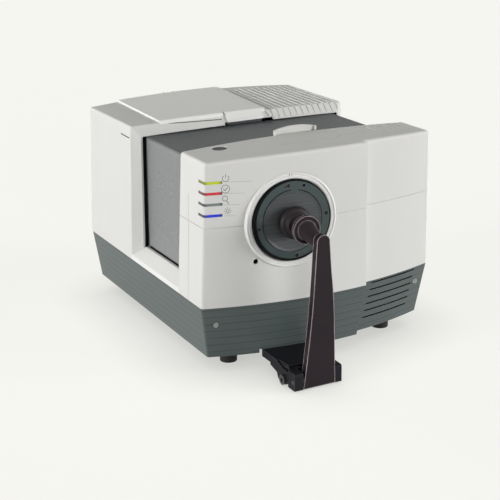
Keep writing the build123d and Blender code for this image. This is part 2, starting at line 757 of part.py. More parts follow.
with BuildPart() as side_sills:
    for side in (-1, 1):
        with BuildSketch(Plane.XZ.offset(-frame_y)):
            with BuildLine():
                Polyline(
                    (side * width / 2, seam_z),
                    (side * half_width(seam_z + sill_rise), seam_z + sill_rise),
                    (side * sill_bevel_half, seam_z + sill_lip_rise),
                    (side * sill_inner_half, seam_z + sill_lip_rise),
                    (side * sill_inner_half, seam_z),
                    close=True,
                )
            make_face()
            with BuildLine():
                Polyline(
                    (side * (width / 2 - shell_wall), seam_z),
                    (side * (width / 2 - shell_wall), seam_z + sill_rise - 1),
                    (side * (sill_inner_half + shell_wall), seam_z + sill_lip_rise - shell_wall - 2),
                    (side * (sill_inner_half + shell_wall), seam_z),
                    close=True,
                )
            make_face(mode=Mode.SUBTRACT)
        extrude(amount=frame_y - housing_back)
    split(bisect_by=lean_plane(0), keep=Keep.TOP)
    add(rear_form(), mode=Mode.SUBTRACT)
side_sills.part.label = "side_sills"
export_step(side_sills.part, "parts/side_sills.step")

# ================================================================ inner walls
bend = 14.0                   # foot of each folded sheet wall on the deck


def sheet_wall(start_y, foot_dir, bore):
    """Folded sheet wall across the instrument: upright with a foot on the deck and a round bore."""
    with BuildPart() as wall:
        with BuildSketch(Plane.XZ.offset(-(start_y + sheet))):
            with Locations((0, deck_top)):
                Rectangle(2 * wall_half, wall_top - deck_top, align=(Align.CENTER, Align.MIN))
            with Locations((beam_x, port_z)):
                Circle(bore, mode=Mode.SUBTRACT)
        extrude(amount=sheet)
        foot_y = start_y - bend if foot_dir < 0 else start_y + sheet
        with BuildSketch(Plane.XY.offset(deck_top)):
            with Locations((0, foot_y + bend / 2)):
                Rectangle(2 * wall_half, bend)
        extrude(amount=sheet)
    return wall.part


with BuildPart() as front_bulkhead:
    add(sheet_wall(bulkhead_y, -1, sphere_r + gap))
front_bulkhead.part.label = "front_bulkhead"
export_step(front_bulkhead.part, "parts/front_bulkhead.step")

with BuildPart() as sphere_wall_plate:
    add(sheet_wall(sphere_wall_y, -1, exit_port_r))
sphere_wall_plate.part.label = "sphere_wall_plate"
export_step(sphere_wall_plate.part, "parts/sphere_wall_plate.step")

lens_wall_y = front_y + 252.0
lens_r = 16.0
barrel_r = 20.0
with BuildPart() as lens_wall:
    add(sheet_wall(lens_wall_y, 1, barrel_r + running_fit))
lens_wall.part.label = "lens_wall"
export_step(lens_wall.part, "parts/lens_wall.step")

# Compartment floor: a tray between the two walls, on folded legs, with a drip edge.
tray_z = deck_top + 14.0
tray_edge = 5.0
tray_front = sphere_wall_y + sheet
with BuildPart() as compartment_floor:
    with BuildSketch(Plane.XZ.offset(-lens_wall_y)):
        for side in (-1, 1):
            with Locations((side * (wall_half - sheet / 2), deck_top)):
                Rectangle(sheet, tray_z + tray_edge - deck_top, align=(Align.CENTER, Align.MIN))
        with Locations((0, tray_z)):
            Rectangle(2 * wall_half, sheet, align=(Align.CENTER, Align.MAX))
    extrude(amount=lens_wall_y - tray_front)
compartment_floor.part.label = "compartment_floor"
export_step(compartment_floor.part, "parts/compartment_floor.step")

# Cell holder on the sphere's wall: back plate with a light hole, a shelf and two guides.
cell_width = 40.0
cell_depth = 26.0
shelf_z = port_z - 34.0
holder_top = port_z + 38.0
guide = 5.0
with BuildPart() as cell_holder:
    with BuildSketch(Plane.XZ.offset(-(tray_front + 3))):
        with Locations((beam_x, (shelf_z - 10 + holder_top) / 2)):
            RectangleRounded(cell_width + 2 * guide + 24, holder_top - shelf_z + 10, 5)
        with Locations((beam_x, port_z)):
            Circle(aperture_r, mode=Mode.SUBTRACT)
    extrude(amount=3)
    with BuildSketch(Plane.XY.offset(shelf_z - 4)):
        with Locations((beam_x, tray_front + 3)):
            Rectangle(cell_width + 2 * guide, cell_depth, align=(Align.CENTER, Align.MIN))
    extrude(amount=4)
    with BuildSketch(Plane.XY.offset(shelf_z)):
        for side in (-1, 1):
            with Locations((beam_x + side * (cell_width + guide) / 2, tray_front + 3)):
                Rectangle(guide, cell_depth, align=(Align.CENTER, Align.MIN))
    extrude(amount=30)
cell_holder.part.label = "cell_holder"
export_step(cell_holder.part, "parts/cell_holder.step")

barrel_front = lens_wall_y - 14.0
spectro_front = front_y + 292.0
with BuildPart() as lens_barrel:
    add(disc(beam_x, port_z, barrel_r, barrel_front, spectro_front, lens_r))
    add(disc(beam_x, port_z, barrel_r + 7, lens_wall_y - 3, lens_wall_y, lens_r))
    add(disc(beam_x, port_z, barrel_r, barrel_front, barrel_front + 2, lens_r - 1.5))
lens_barrel.part.label = "lens_barrel"
export_step(lens_barrel.part, "parts/lens_barrel.step")

lens_centre = 7.0
lens_edge = 3.0
with BuildPart() as lens:
    with BuildSketch(Plane(origin=(beam_x, barrel_front + 2, port_z), x_dir=(1, 0, 0), z_dir=(0, 0, 1))):
        with BuildLine():
            rim = lens_r - 0.1
            bulge = lens_centre - lens_edge
            dome_r = (rim**2 + bulge**2) / (2 * bulge)
            Line((0, 0), (rim, 0))
            Line((rim, 0), (rim, lens_edge))
            RadiusArc((rim, lens_edge), (0, lens_centre), -dome_r)
            Line((0, lens_centre), (0, 0))
        make_face()
    revolve(axis=Axis((beam_x, 0, port_z), (0, 1, 0)))
lens.part.label = "lens"
export_step(lens.part, "parts/lens.step")

# ================================================================ compartment cover
cover_back = cover_front + cover_length


def arch(half, foot_half, top, bottom, corner):
    """Arch section of the compartment cover: drafted sides, flat top, rounded shoulders."""
    with BuildSketch() as section:
        with BuildLine():
            Polyline((-foot_half, bottom), (-half, top), (half, top), (foot_half, bottom), close=True)
        make_face()
        fillet(section.vertices().group_by(Axis.Y)[-1], corner)
    return section.sketch


with BuildPart() as compartment_cover:
    with BuildSketch(Plane.XZ.offset(-cover_back)):
        add(arch(cover_half, cover_foot_half, cover_top, cover_bottom, cover_corner))
        add(arch(cover_half - cover_wall, cover_foot_half - cover_wall, cover_under, cover_bottom, 1.0),
            mode=Mode.SUBTRACT)
    extrude(amount=cover_length)
    split(bisect_by=lean_plane(cover_front - housing_back), keep=Keep.TOP)
compartment_cover.part.label = "compartment_cover"
export_step(compartment_cover.part, "parts/compartment_cover.step")

with BuildPart() as cover_grip:
    with BuildSketch(Plane.XZ.offset(-(cover_front + grip_depth))):
        with BuildLine():
            Line((grip_left, cover_top), (grip_right, cover_top))
            Line((grip_right, cover_top), (grip_right, cover_top + grip_rise))
            ThreePointArc(
                (grip_right, cover_top + grip_rise),
                ((grip_left + grip_right) / 2, cover_top + grip_rise + grip_arch),
                (grip_left, cover_top + grip_rise),
            )
            Line((grip_left, cover_top + grip_rise), (grip_left, cover_top))
        make_face()
    extrude(amount=grip_depth)
    with BuildSketch(Plane.XY.offset(cover_top + grip_wall)):
        with Locations(((grip_left + grip_right) / 2, cover_front)):
            Rectangle(grip_right - grip_left - 2 * grip_wall, 2 * (grip_depth - grip_wall))
    extrude(amount=grip_rise + grip_arch, mode=Mode.SUBTRACT)
cover_grip.part.label = "cover_grip"
export_step(cover_grip.part, "parts/cover_grip.step")

with BuildPart() as cover_rails:
    with BuildSketch(Plane.XZ.offset(-(cover_back + cover_travel + 5))):
        for side in (-1, 1):
            with Locations((side * (rail_inner + sill_inner_half - gap) / 2, deck_top)):
                Rectangle(
                    sill_inner_half - gap - rail_inner,
                    seam_z + 8 - deck_top,
                    align=(Align.CENTER, Align.MIN),
                )
            with Locations((side * (cover_foot_half - cover_wall / 2), cover_bottom - gap)):
                Rectangle(cover_wall + 3 * gap, 40, align=(Align.CENTER, Align.MIN), mode=Mode.SUBTRACT)
    extrude(amount=cover_length + cover_travel + 4)
    split(bisect_by=lean_plane(cover_front - housing_back), keep=Keep.TOP)
cover_rails.part.label = "cover_rails"
export_step(cover_rails.part, "parts/cover_rails.step")

# ================================================================ rear housing
vent_depth = 1.8
vent_back = front_y + 415.0
lip_y = frame_y - visor_run
panel_left = -118.0
panel_right = 28.0
panel_front = front_y + 292.0
panel_back = front_y + 398.0
panel_rebate = 6.0
panel_thickness = 2.0
panel_centre = ((panel_left + panel_right) / 2, (panel_front + panel_back) / 2)
panel_size = (panel_right - panel_left, panel_back - panel_front)


def roof_skin(outside, inside, centre, size):
    """Piece of roof between two insets of the rear form, over a rectangle in plan."""
    with BuildPart() as skin:
        add(rear_form(outside))
        add(rear_form(inside), mode=Mode.SUBTRACT)
        with BuildSketch(Plane.XY.offset(lip_top - 12)):
            with Locations(centre):
                Rectangle(*size)
        extrude(amount=80, mode=Mode.INTERSECT)
    return skin.part


# Lid: a skin that lies on the roof, with a flap that hangs over the bevel, hinged at its rear edge.
lid_left = -143.0
lid_right = 45.0
lid_front = front_y + 260.0
lid_thickness = 3.6
flap_left = -31.0
flap_right = 38.0
flap_front = front_y + 251.6
notch_width = 3.5             # the flap is cut free of the lid at its left end
notch_length = 9.0
flap_low = seam_z + 208.4     # the lip is cut away below this, under the flap
pocket_foot = 53.0            # sloped side of the finger pocket beside the flap, at the lip
pocket_head = 44.0
pocket_depth = 2.2


def lid_pocket():
    """Finger pocket in the bevel beside the lid's flap."""
    with BuildPart() as pocket:
        with BuildSketch(Plane.XZ.offset(-frame_y)):
            with BuildLine():
                Polyline(
                    (flap_right + gap, lip_top - 12),
                    (pocket_foot, lip_top - 12),
                    (pocket_foot, lip_top),
                    (pocket_head, rear_side_top + 6),
                    (flap_right + gap, rear_side_top + 6),
                    close=True,
                )
            make_face()
        extrude(amount=visor_run + 1)
        add(rear_form(pocket_depth), mode=Mode.SUBTRACT)
    return pocket.part


with BuildPart() as rear_housing:
    add(rear_form())
    add(rear_form(shell_wall), mode=Mode.SUBTRACT)
    for rib in range(vent_ribs):
        groove_x = vent_left + vent_pitch * rib
        lip_floor = lip_top + lip_crown * (1 - (groove_x / lip_half) ** 2) - lip_wall / 2
        with BuildSketch(Plane.YZ.offset(groove_x - vent_width / 2)):
            with BuildLine():
                Polyline(
                    (lip_y - 1, lip_floor),
                    (lip_y, lip_floor),
                    (frame_y + 0.5, rear_top(groove_x, frame_y) - vent_depth),
                    (vent_back, rear_top(groove_x, vent_back) - vent_depth),
                    (vent_back, rear_top(0, rear_y) + 5),
                    (lip_y - 1, rear_top(0, rear_y) + 5),
                    close=True,
                )
            make_face()
        extrude(amount=vent_width, mode=Mode.SUBTRACT)
    with BuildSketch(Plane.XZ.offset(-(flap_front + 2))):
        with Locations(((flap_left + pocket_foot) / 2, lip_top - 12)):
            Rectangle(pocket_foot - flap_left + 4, flap_low - lip_top + 12, align=(Align.CENTER, Align.MIN))
    extrude(amount=flap_front + 2 - lip_y + 1, mode=Mode.SUBTRACT)
    add(lid_pocket(), mode=Mode.SUBTRACT)
    add(roof_skin(-1.0, panel_thickness, panel_centre, panel_size), mode=Mode.SUBTRACT)
    with BuildSketch(Plane.XY.offset(lip_top)):
        with Locations(panel_centre):
            Rectangle(panel_size[0] - 2 * panel_rebate, panel_size[1] - 2 * panel_rebate)
    extrude(amount=60, mode=Mode.SUBTRACT)
rear_housing.part.label = "rear_housing"
export_step(rear_housing.part, "parts/rear_housing.step")

with BuildPart() as service_panel:
    add(roof_skin(0.0, panel_thickness, panel_centre, (panel_size[0] - 2 * gap, panel_size[1] - 2 * gap)))
service_panel.part.label = "service_panel"
export_step(service_panel.part, "parts/service_panel.step")

barrel = 1.9                  # the knuckles lie within the lid's own thickness
hinge_y = rear_y - 8.0
hinge_z = rear_top(lid_right - 23, hinge_y) + barrel + gap
barrel_length = 14.0
ear = 3.0
hinge_pin_r = 0.9
hinge_spots = (lid_left + 93, lid_right - 16)
with BuildPart() as rear_lid:
    add(roof_skin(
        -gap - lid_thickness, -gap, ((lid_left + lid_right) / 2, (lid_front + hinge_y) / 2),
        (lid_right - lid_left, hinge_y - lid_front),
    ))
    add(roof_skin(
        -gap - lid_thickness, -gap, ((flap_left + flap_right) / 2, (flap_front + lid_front + 5) / 2),
        (flap_right - flap_left, lid_front + 5 - flap_front),
    ))
    with BuildSketch(Plane.XY.offset(seam_z)):
        with Locations((flap_left, lid_front)):
            Rectangle(notch_width, 2 * notch_length, align=(Align.MIN, Align.CENTER))
    extrude(amount=hinge_z, mode=Mode.SUBTRACT)
    for x in hinge_spots:
        with BuildSketch(Plane.XY.offset(seam_z)):
            with Locations((x, hinge_y)):
                Rectangle(barrel_length + 2 * (ear + 2 * gap), 2 * (barrel + gap))
        extrude(amount=hinge_z, mode=Mode.SUBTRACT)
        with BuildSketch(Plane.YZ.offset(x - barrel_length / 2)):
            with Locations((hinge_y, hinge_z)):
                Circle(barrel)
                Rectangle(4 * barrel, barrel, align=(Align.MAX, Align.CENTER))
                Circle(hinge_pin_r + running_fit, mode=Mode.SUBTRACT)
        extrude(amount=barrel_length)
rear_lid.part.label = "rear_lid"
export_step(rear_lid.part, "parts/rear_lid.step")

with BuildPart() as lid_hinges:
    for x in hinge_spots:
        for side in (-1, 1):
            middle = x + side * (barrel_length / 2 + gap + ear / 2)
            with BuildSketch(Plane.YZ.offset(middle - ear / 2)):
                with Locations((hinge_y, hinge_z)):
                    Circle(barrel)
                    Rectangle(2 * barrel, 12, align=(Align.CENTER, Align.MAX))
            extrude(amount=ear)
        with BuildSketch(Plane.YZ.offset(x - barrel_length / 2 - gap)):
            with Locations((hinge_y, hinge_z)):
                Circle(hinge_pin_r)
        extrude(amount=barrel_length + 2 * gap)
    add(rear_form(), mode=Mode.SUBTRACT)
lid_hinges.part.label = "lid_hinges"
export_step(lid_hinges.part, "parts/lid_hinges.step")

# ================================================================ optics and electronics
spectro_left = -150.0
spectro_right = 10.0
spectro_back = front_y + 392.0
spectro_bottom = deck_top + 50.0
spectro_top = port_z + 46.0
box_wall = 3.0
leg_r = 5.0
spectro_centre = ((spectro_left + spectro_right) / 2, (spectro_front + spectro_back) / 2)
spectro_size = (spectro_right - spectro_left, spectro_back - spectro_front)
with BuildPart() as spectrometer_box:
    with BuildSketch(Plane.XY.offset(spectro_bottom)):
        with Locations(spectro_centre):
            RectangleRounded(*spectro_size, 4)
    extrude(amount=spectro_top - spectro_bottom)
    with BuildSketch(Plane.XY.offset(spectro_bottom + box_wall)):
        with Locations(spectro_centre):
            Rectangle(spectro_size[0] - 2 * box_wall, spectro_size[1] - 2 * box_wall)
    extrude(amount=spectro_top, mode=Mode.SUBTRACT)
    add(disc(beam_x, port_z, lens_r, spectro_front - 5, spectro_front + 10), mode=Mode.SUBTRACT)
    with BuildSketch(Plane.XY.offset(deck_top)):
        with Locations(spectro_centre):
            with GridLocations(spectro_size[0] - 30, spectro_size[1] - 30, 2, 2):
                Circle(leg_r)
    extrude(amount=spectro_bottom - deck_top)
spectrometer_box.part.label = "spectrometer_box"
export_step(spectrometer_box.part, "parts/spectrometer_box.step")

with BuildPart() as spectrometer_lid:
    with BuildSketch(Plane.XY.offset(spectro_top)):
        with Locations(spectro_centre):
            RectangleRounded(*spectro_size, 4)
            with GridLocations(spectro_size[0] - 12, spectro_size[1] - 12, 2, 2):
                Circle(screw_r, mode=Mode.SUBTRACT)
    extrude(amount=sheet)
spectrometer_lid.part.label = "spectrometer_lid"
export_step(spectrometer_lid.part, "parts/spectrometer_lid.step")

# Concave grating in its mount, turned towards the detector on its own board.
grating_tilt = 12.0
grating_y = spectro_back - 22.0
with BuildPart() as spectrometer_optics:
    with BuildSketch(Plane.XY.offset(spectro_bottom + box_wall)):
        with Locations((beam_x, grating_y)):
            Rectangle(46, 16, rotation=-grating_tilt)
    extrude(amount=port_z - spectro_bottom - box_wall + 24)
    face = Vector(-sin(radians(grating_tilt)), -cos(radians(grating_tilt)), 0)
    dish = Vector(beam_x, grating_y, port_z) + face * 58
    with Locations((dish.X, dish.Y, dish.Z)):
        Sphere(53, mode=Mode.SUBTRACT)
    with BuildSketch(Plane.XY.offset(spectro_bottom + box_wall)):
        with Locations((spectro_left + 38, spectro_front + box_wall)):
            Rectangle(44, sheet, align=(Align.CENTER, Align.MIN))
    extrude(amount=70)
    with BuildSketch(Plane.XY.offset(port_z - 12)):
        with Locations((spectro_left + 38, spectro_front + box_wall + sheet)):
            Rectangle(30, 5, align=(Align.CENTER, Align.MIN))
    extrude(amount=16)
spectrometer_optics.part.label = "spectrometer_optics"
export_step(spectrometer_optics.part, "parts/spectrometer_optics.step")

# Lamp house on the front bulkhead, open towards the sphere through its collar.
lamp_left = beam_x + sphere_r + flange_width + 4.0
lamp_right = lamp_left + 84.0
lamp_front = front_y + 14.0
lamp_y = sphere_y - 22.0
lamp_bottom = port_z - 36.0
lamp_top = port_z + 36.0
lamp_port_r = 13.0
with BuildPart() as lamp_house:
    with BuildSketch(Plane.XY.offset(lamp_bottom)):
        with Locations(((lamp_left + lamp_right) / 2, (lamp_front + bulkhead_y) / 2)):
            RectangleRounded(lamp_right - lamp_left, bulkhead_y - lamp_front, 3)
    extrude(amount=lamp_top - lamp_bottom)
    with BuildSketch(Plane.YZ.offset(beam_x + sphere_r - 20)):
        with Locations((lamp_y, port_z)):
            Circle(lamp_port_r + 2.5)
    extrude(amount=lamp_left - beam_x - sphere_r + 21)
    with BuildSketch(Plane.XZ.offset(-(bulkhead_y - box_wall))):
        with Locations(((lamp_left + lamp_right) / 2, port_z)):
            Rectangle(lamp_right - lamp_left - 2 * box_wall, lamp_top - lamp_bottom - 2 * box_wall)
    extrude(amount=bulkhead_y - lamp_front - 2 * box_wall, mode=Mode.SUBTRACT)
    with BuildSketch(Plane.YZ.offset(beam_x)):
        with Locations((lamp_y, port_z)):
            Circle(lamp_port_r)
    extrude(amount=lamp_left - beam_x + 10, mode=Mode.SUBTRACT)
    with Locations((beam_x, sphere_y, port_z)):
        Sphere(sphere_r + 0.1, mode=Mode.SUBTRACT)
    add(disc(beam_x, port_z, sphere_r + flange_width + gap, sphere_y - flange_thickness - 3, bulkhead_y),
        mode=Mode.SUBTRACT)
lamp_house.part.label = "lamp_house"
export_step(lamp_house.part, "parts/lamp_house.step")

# Flash lamp: ringed glass envelope on a base that stands on the lamp house's right wall.
with BuildPart() as flash_lamp:
    with BuildSketch(Plane.YZ.offset(lamp_left + 22)):
        with Locations((lamp_y, port_z)):
            Circle(7.0)
    extrude(amount=32)
    with BuildSketch(Plane.YZ.offset(lamp_left + 54)):
        with Locations((lamp_y, port_z)):
            Circle(13.0)
    extrude(amount=lamp_right - box_wall - lamp_left - 54)
    fillet(flash_lamp.faces().sort_by(Axis.X)[0].edges(), 5.0)
flash_lamp.part.label = "flash_lamp"
export_step(flash_lamp.part, "parts/flash_lamp.step")

standoff = 8.0
board_left, board_right = 40.0, width / 2 - 42.0
board_front, board_back = front_y + 290.0, front_y + 420.0
with BuildPart() as circuit_board:
    with BuildSketch(Plane.XY.offset(deck_top + standoff)):
        with Locations(((board_left + board_right) / 2, (board_front + board_back) / 2)):
            Rectangle(board_right - board_left, board_back - board_front)
    extrude(amount=1.6)
    with BuildSketch(Plane.XY.offset(deck_top)):
        with Locations(((board_left + board_right) / 2, (board_front + board_back) / 2)):
            with GridLocations(board_right - board_left - 10, board_back - board_front - 10, 2, 2):
                Circle(3)
    extrude(amount=standoff)
    with BuildSketch(Plane.XY.offset(deck_top + standoff + 1.6)):
        with Locations((board_left + 34, board_front + 36)):
            Rectangle(28, 28)
        with Locations((board_left + 82, board_front + 30)):
            Rectangle(18, 12)
        with Locations((board_left + 20, board_back - 12)):
            Rectangle(30, 10)
    extrude(amount=3)
    with BuildSketch(Plane.XY.offset(deck_top + standoff + 1.6)):
        with Locations((board_right - 22, board_back - 42)):
            with GridLocations(16, 16, 2, 2):
                Circle(6)
    extrude(amount=16)
circuit_board.part.label = "circuit_board"
export_step(circuit_board.part, "parts/circuit_board.step")

# ================================================================ rear of the tub
back_inside = rear_y - rear_lean * (seam_z - floor_top) - tub_wall
supply_left, supply_right = 58.0, 152.0
supply_height = 46.0
supply_depth = 120.0
supply_back = back_inside - 46.0
with BuildPart() as power_supply:
    with BuildSketch(Plane.XY.offset(floor_top)):
        with Locations(((supply_left + supply_right) / 2, supply_back)):
            Rectangle(supply_right - supply_left, supply_depth, align=(Align.CENTER, Align.MAX))
    extrude(amount=supply_height)
    with BuildSketch(Plane.XY.offset(floor_top + supply_height)):
        with Locations(((supply_left + supply_right) / 2, supply_back - supply_depth / 2)):
            with GridLocations(12, 16, 6, 6):
                SlotOverall(9, 4)
    extrude(amount=-2.0, mode=Mode.SUBTRACT)
power_supply.part.label = "power_supply"
export_step(power_supply.part, "parts/power_supply.step")

inlet_depth = 22.0
inlet_face = back_inside + 2.0
with BuildPart() as power_inlet:
    with BuildSketch(Plane.XZ.offset(-back_inside)):
        with Locations((inlet_x, service_z)):
            Rectangle(inlet_size[0] + 14, inlet_size[1] + 6)
    extrude(amount=sheet)
    with BuildSketch(Plane.XZ.offset(-inlet_face)):
        with Locations((inlet_x, service_z)):
            RectangleRounded(inlet_size[0] - 2 * gap, inlet_size[1] - 2 * gap, 3)
    extrude(amount=inlet_depth)
    with BuildSketch(Plane.XZ.offset(-inlet_face)):
        with Locations((inlet_x, service_z)):
            RectangleRounded(inlet_size[0] - 5, inlet_size[1] - 5, 2)
    extrude(amount=inlet_depth - 3, mode=Mode.SUBTRACT)
    with BuildSketch(Plane.XZ.offset(-(inlet_face - 5))):
        with Locations(*[(inlet_x + x, service_z + z) for x, z in ((-7, -2), (0, 2), (7, -2))]):
            Rectangle(2, 4)
    extrude(amount=inlet_depth - 7)
power_inlet.part.label = "power_inlet"
export_step(power_inlet.part, "parts/power_inlet.step")

rocker_r = 8.0
rocker_width = 8.4
rocker_y = back_inside - 3.6
rocker_tilt = 7.0
with BuildPart() as switch_body:
    with BuildSketch(Plane.XZ.offset(-back_inside)):
        with Locations((switch_x, service_z)):
            Rectangle(switch_size[0] + 3, switch_size[1] + 4)
    extrude(amount=sheet)
    with BuildSketch(Plane.XZ.offset(-inlet_face)):
        with Locations((switch_x, service_z)):
            Rectangle(switch_size[0] - 2 * gap, switch_size[1] - 2 * gap)
    extrude(amount=inlet_depth)
    with BuildSketch(Plane.YZ.offset(switch_x - rocker_width / 2 - gap)):
        with Locations((rocker_y, service_z)):
            Circle(rocker_r + gap)
        with Locations((rocker_y, service_z)):
            Rectangle(40, 2 * (rocker_r + gap), align=(Align.MIN, Align.CENTER))
    extrude(amount=rocker_width + 2 * gap, mode=Mode.SUBTRACT)
switch_body.part.label = "switch_body"
export_step(switch_body.part, "parts/switch_body.step")

# Rocker: drawn switched off, with its lower end pressed in.
with BuildPart() as power_rocker:
    with BuildSketch(Plane.YZ.offset(switch_x - rocker_width / 2)):
        with Locations((rocker_y, service_z)):
            Circle(rocker_r)
            with Locations(Location((0, 0), -rocker_tilt)):
                with Locations((4.6, 0)):
                    Rectangle(40, 60, align=(Align.MIN, Align.CENTER), mode=Mode.SUBTRACT)
    extrude(amount=rocker_width)
power_rocker.part.label = "power_rocker"
export_step(power_rocker.part, "parts/power_rocker.step")

with BuildPart() as rear_sockets:
    add(disc(fuse_x, service_z, fuse_r - gap, back_inside - 30, inlet_face))
    add(disc(fuse_x, service_z, fuse_r + 2.6, back_inside - sheet, back_inside))
    with BuildSketch(Plane.XZ.offset(-inlet_face)):
        with Locations((fuse_x, service_z)):
            Rectangle(8, 1.4)
    extrude(amount=1.5, mode=Mode.SUBTRACT)
    with BuildSketch(Plane.XZ.offset(-back_inside)):
        with Locations((data_x, service_z)):
            Rectangle(data_size[0] + 5, data_size[1] + 5)
    extrude(amount=sheet)
    with BuildSketch(Plane.XZ.offset(-inlet_face)):
        with Locations((data_x, service_z)):
            Rectangle(data_size[0] - 2 * gap, data_size[1] - 2 * gap)
    extrude(amount=18)
    with BuildSketch(Plane.XZ.offset(-inlet_face)):
        with Locations((data_x, service_z)):
            Rectangle(data_size[0] - 3, data_size[1] - 3)
            Rectangle(data_size[0] - 7, data_size[1] - 8, mode=Mode.SUBTRACT)
    extrude(amount=12, mode=Mode.SUBTRACT)
rear_sockets.part.label = "rear_sockets"
export_step(rear_sockets.part, "parts/rear_sockets.step")

# Fan: square frame on the back wall, rotor on a spindle from its spider, wire guard in the bore.
fan_size = 60.0
fan_depth = 20.0
fan_front = back_inside - fan_depth
fan_hub_r = 12.0
fan_tip_r = 25.0
fan_spindle_r = 2.0
fan_blades = 7
guard_wire = 1.2
with BuildPart() as fan_frame:
    with BuildSketch(Plane.XZ.offset(-back_inside)):
        with Locations((fan_x, service_z)):
            RectangleRounded(fan_size, fan_size, 4)
            Circle(fan_bore_r, mode=Mode.SUBTRACT)
            with GridLocations(fan_screw_pitch, fan_screw_pitch, 2, 2):
                Circle(screw_r, mode=Mode.SUBTRACT)
    extrude(amount=fan_depth)
    with BuildSketch(Plane.XZ.offset(-(fan_front + 3))):
        with Locations((fan_x, service_z)):
            Circle(fan_hub_r)
            Rectangle(2 * fan_bore_r + 1, 4)
            Rectangle(4, 2 * fan_bore_r + 1)
    extrude(amount=3)
    add(disc(fan_x, service_z, fan_spindle_r, fan_front + 2, fan_front + 12))
    for radius in (9.0, 14.5, 20.0, fan_bore_r - gap):
        add(disc(fan_x, service_z, radius, back_inside, back_inside + guard_wire, radius - guard_wire))
    with BuildSketch(Plane.XZ.offset(-(back_inside + guard_wire))):
        with Locations((fan_x, service_z)):
            Rectangle(2 * fan_bore_r - 1, guard_wire, rotation=45)
            Rectangle(2 * fan_bore_r - 1, guard_wire, rotation=-45)
    extrude(amount=guard_wire)
fan_frame.part.label = "fan_frame"
export_step(fan_frame.part, "parts/fan_frame.step")

rotor_front = fan_front + 3 + gap
rotor_back = back_inside - 3.0
rotor_middle = (rotor_front + rotor_back) / 2
with BuildPart(Plane(origin=(fan_x, rotor_middle, service_z), z_dir=(0, 1, 0))) as fan_rotor:
    Cylinder(fan_hub_r, rotor_back - rotor_front)
    with PolarLocations(fan_hub_r - 1, fan_blades):
        Box(
            fan_tip_r - fan_hub_r + 1, 1.6, 15,
            rotation=(38, 0, 0), align=(Align.MIN, Align.CENTER, Align.CENTER),
        )
    with Locations((0, 0, (rotor_front - rotor_back) / 2)):
        Cylinder(
            fan_spindle_r + running_fit, 9.5,
            align=standing, mode=Mode.SUBTRACT,
        )
fan_rotor.part.label = "fan_rotor"
export_step(fan_rotor.part, "parts/fan_rotor.step")

# ================================================================ sample clamp
plate_top = foot_height
plate_under = foot_height - bracket_plate
slot_left = arm_foot_left - gap
slot_right = arm_foot_right + gap
slot_depth = 20.0
cheek_outline = [
    (-40.0, 0.0), (-49.5, 0.0), (-77.6, -6.5), (-92.0, -9.0), (-92.0, -23.0),
    (-86.0, -29.5), (-63.2, -27.0), (-59.4, -19.2), (-39.7, -14.7),
]
lug_front, lug_back = front_y - 40.0, front_y - 14.0
lug_drop = 7.0
clamp_screw_spots = [(port_x + side * 25, front_y + y) for side in (-1, 1) for y in (12, 46)]
with BuildPart() as clamp_bracket:
    with BuildSketch(Plane.XY.offset(plate_under)):
        with Locations(((block_left + block_right) / 2, bracket_back)):
            Rectangle(
                block_right - block_left - 2 * cheek,
                bracket_back - front_y + 88,
                align=(Align.CENTER, Align.MAX),
            )
        with Locations(*clamp_screw_spots):
            Circle(screw_r, mode=Mode.SUBTRACT)
    extrude(amount=bracket_plate)
    for left in (block_left, block_right - cheek):
        with BuildSketch(Plane.YZ.offset(left)) as cheek_face:
            with BuildLine():
                Polyline(*[(front_y + y, plate_top + z) for y, z in cheek_outline], close=True)
            make_face()
            fillet(cheek_face.vertices().group_by(Axis.Y)[0], 5)
            with Locations((cheek_screw_y, cheek_screw_z)):
                Circle(3.2, mode=Mode.SUBTRACT)
        extrude(amount=cheek)
        with BuildSketch(Plane.YZ.offset(left)):
            with Locations(((lug_front + lug_back) / 2, plate_top)):
                Rectangle(lug_back - lug_front, lug_drop + bracket_plate, align=(Align.CENTER, Align.MAX))
            with Locations((front_y - 40 - 5, plate_top)):
                Rectangle(30, bracket_plate, align=(Align.CENTER, Align.MAX))
        extrude(amount=cheek)
clamp_bracket.part.label = "clamp_bracket"
export_step(clamp_bracket.part, "parts/clamp_bracket.step")

with BuildPart() as clamp_block:
    with BuildSketch(Plane.XY.offset(block_bottom)):
        with Locations((block_left, clamp_face)):
            Rectangle(block_right - block_left, slot_depth - 1, align=(Align.MIN, Align.MIN))
        with Locations((block_left + cheek, clamp_face)):
            Rectangle(block_right - block_left - 2 * cheek, block_depth, align=(Align.MIN, Align.MIN))
        with Locations((slot_left, clamp_face)):
            Rectangle(slot_right - slot_left, slot_depth, align=(Align.MIN, Align.MIN), mode=Mode.SUBTRACT)
    extrude(amount=plate_under - block_bottom)
    with BuildSketch(Plane.YZ.offset(block_left)):
        with Locations((pivot_y, pivot_z)):
            Circle(pivot_pin_r)
    extrude(amount=block_right - block_left, mode=Mode.SUBTRACT)
    for x, way in ((block_left + cheek, 1), (block_right - cheek, -1)):
        with BuildSketch(Plane.YZ.offset(x)):
            with Locations((cheek_screw_y, cheek_screw_z)):
                Circle(3.0)
        extrude(amount=way * 12, mode=Mode.SUBTRACT)
    fillet(clamp_block.edges().filter_by(Axis.X).group_by(Axis.Y)[0].sort_by(Axis.Z)[-2:], 3.0)
clamp_block.part.label = "clamp_block"
export_step(clamp_block.part, "parts/clamp_block.step")

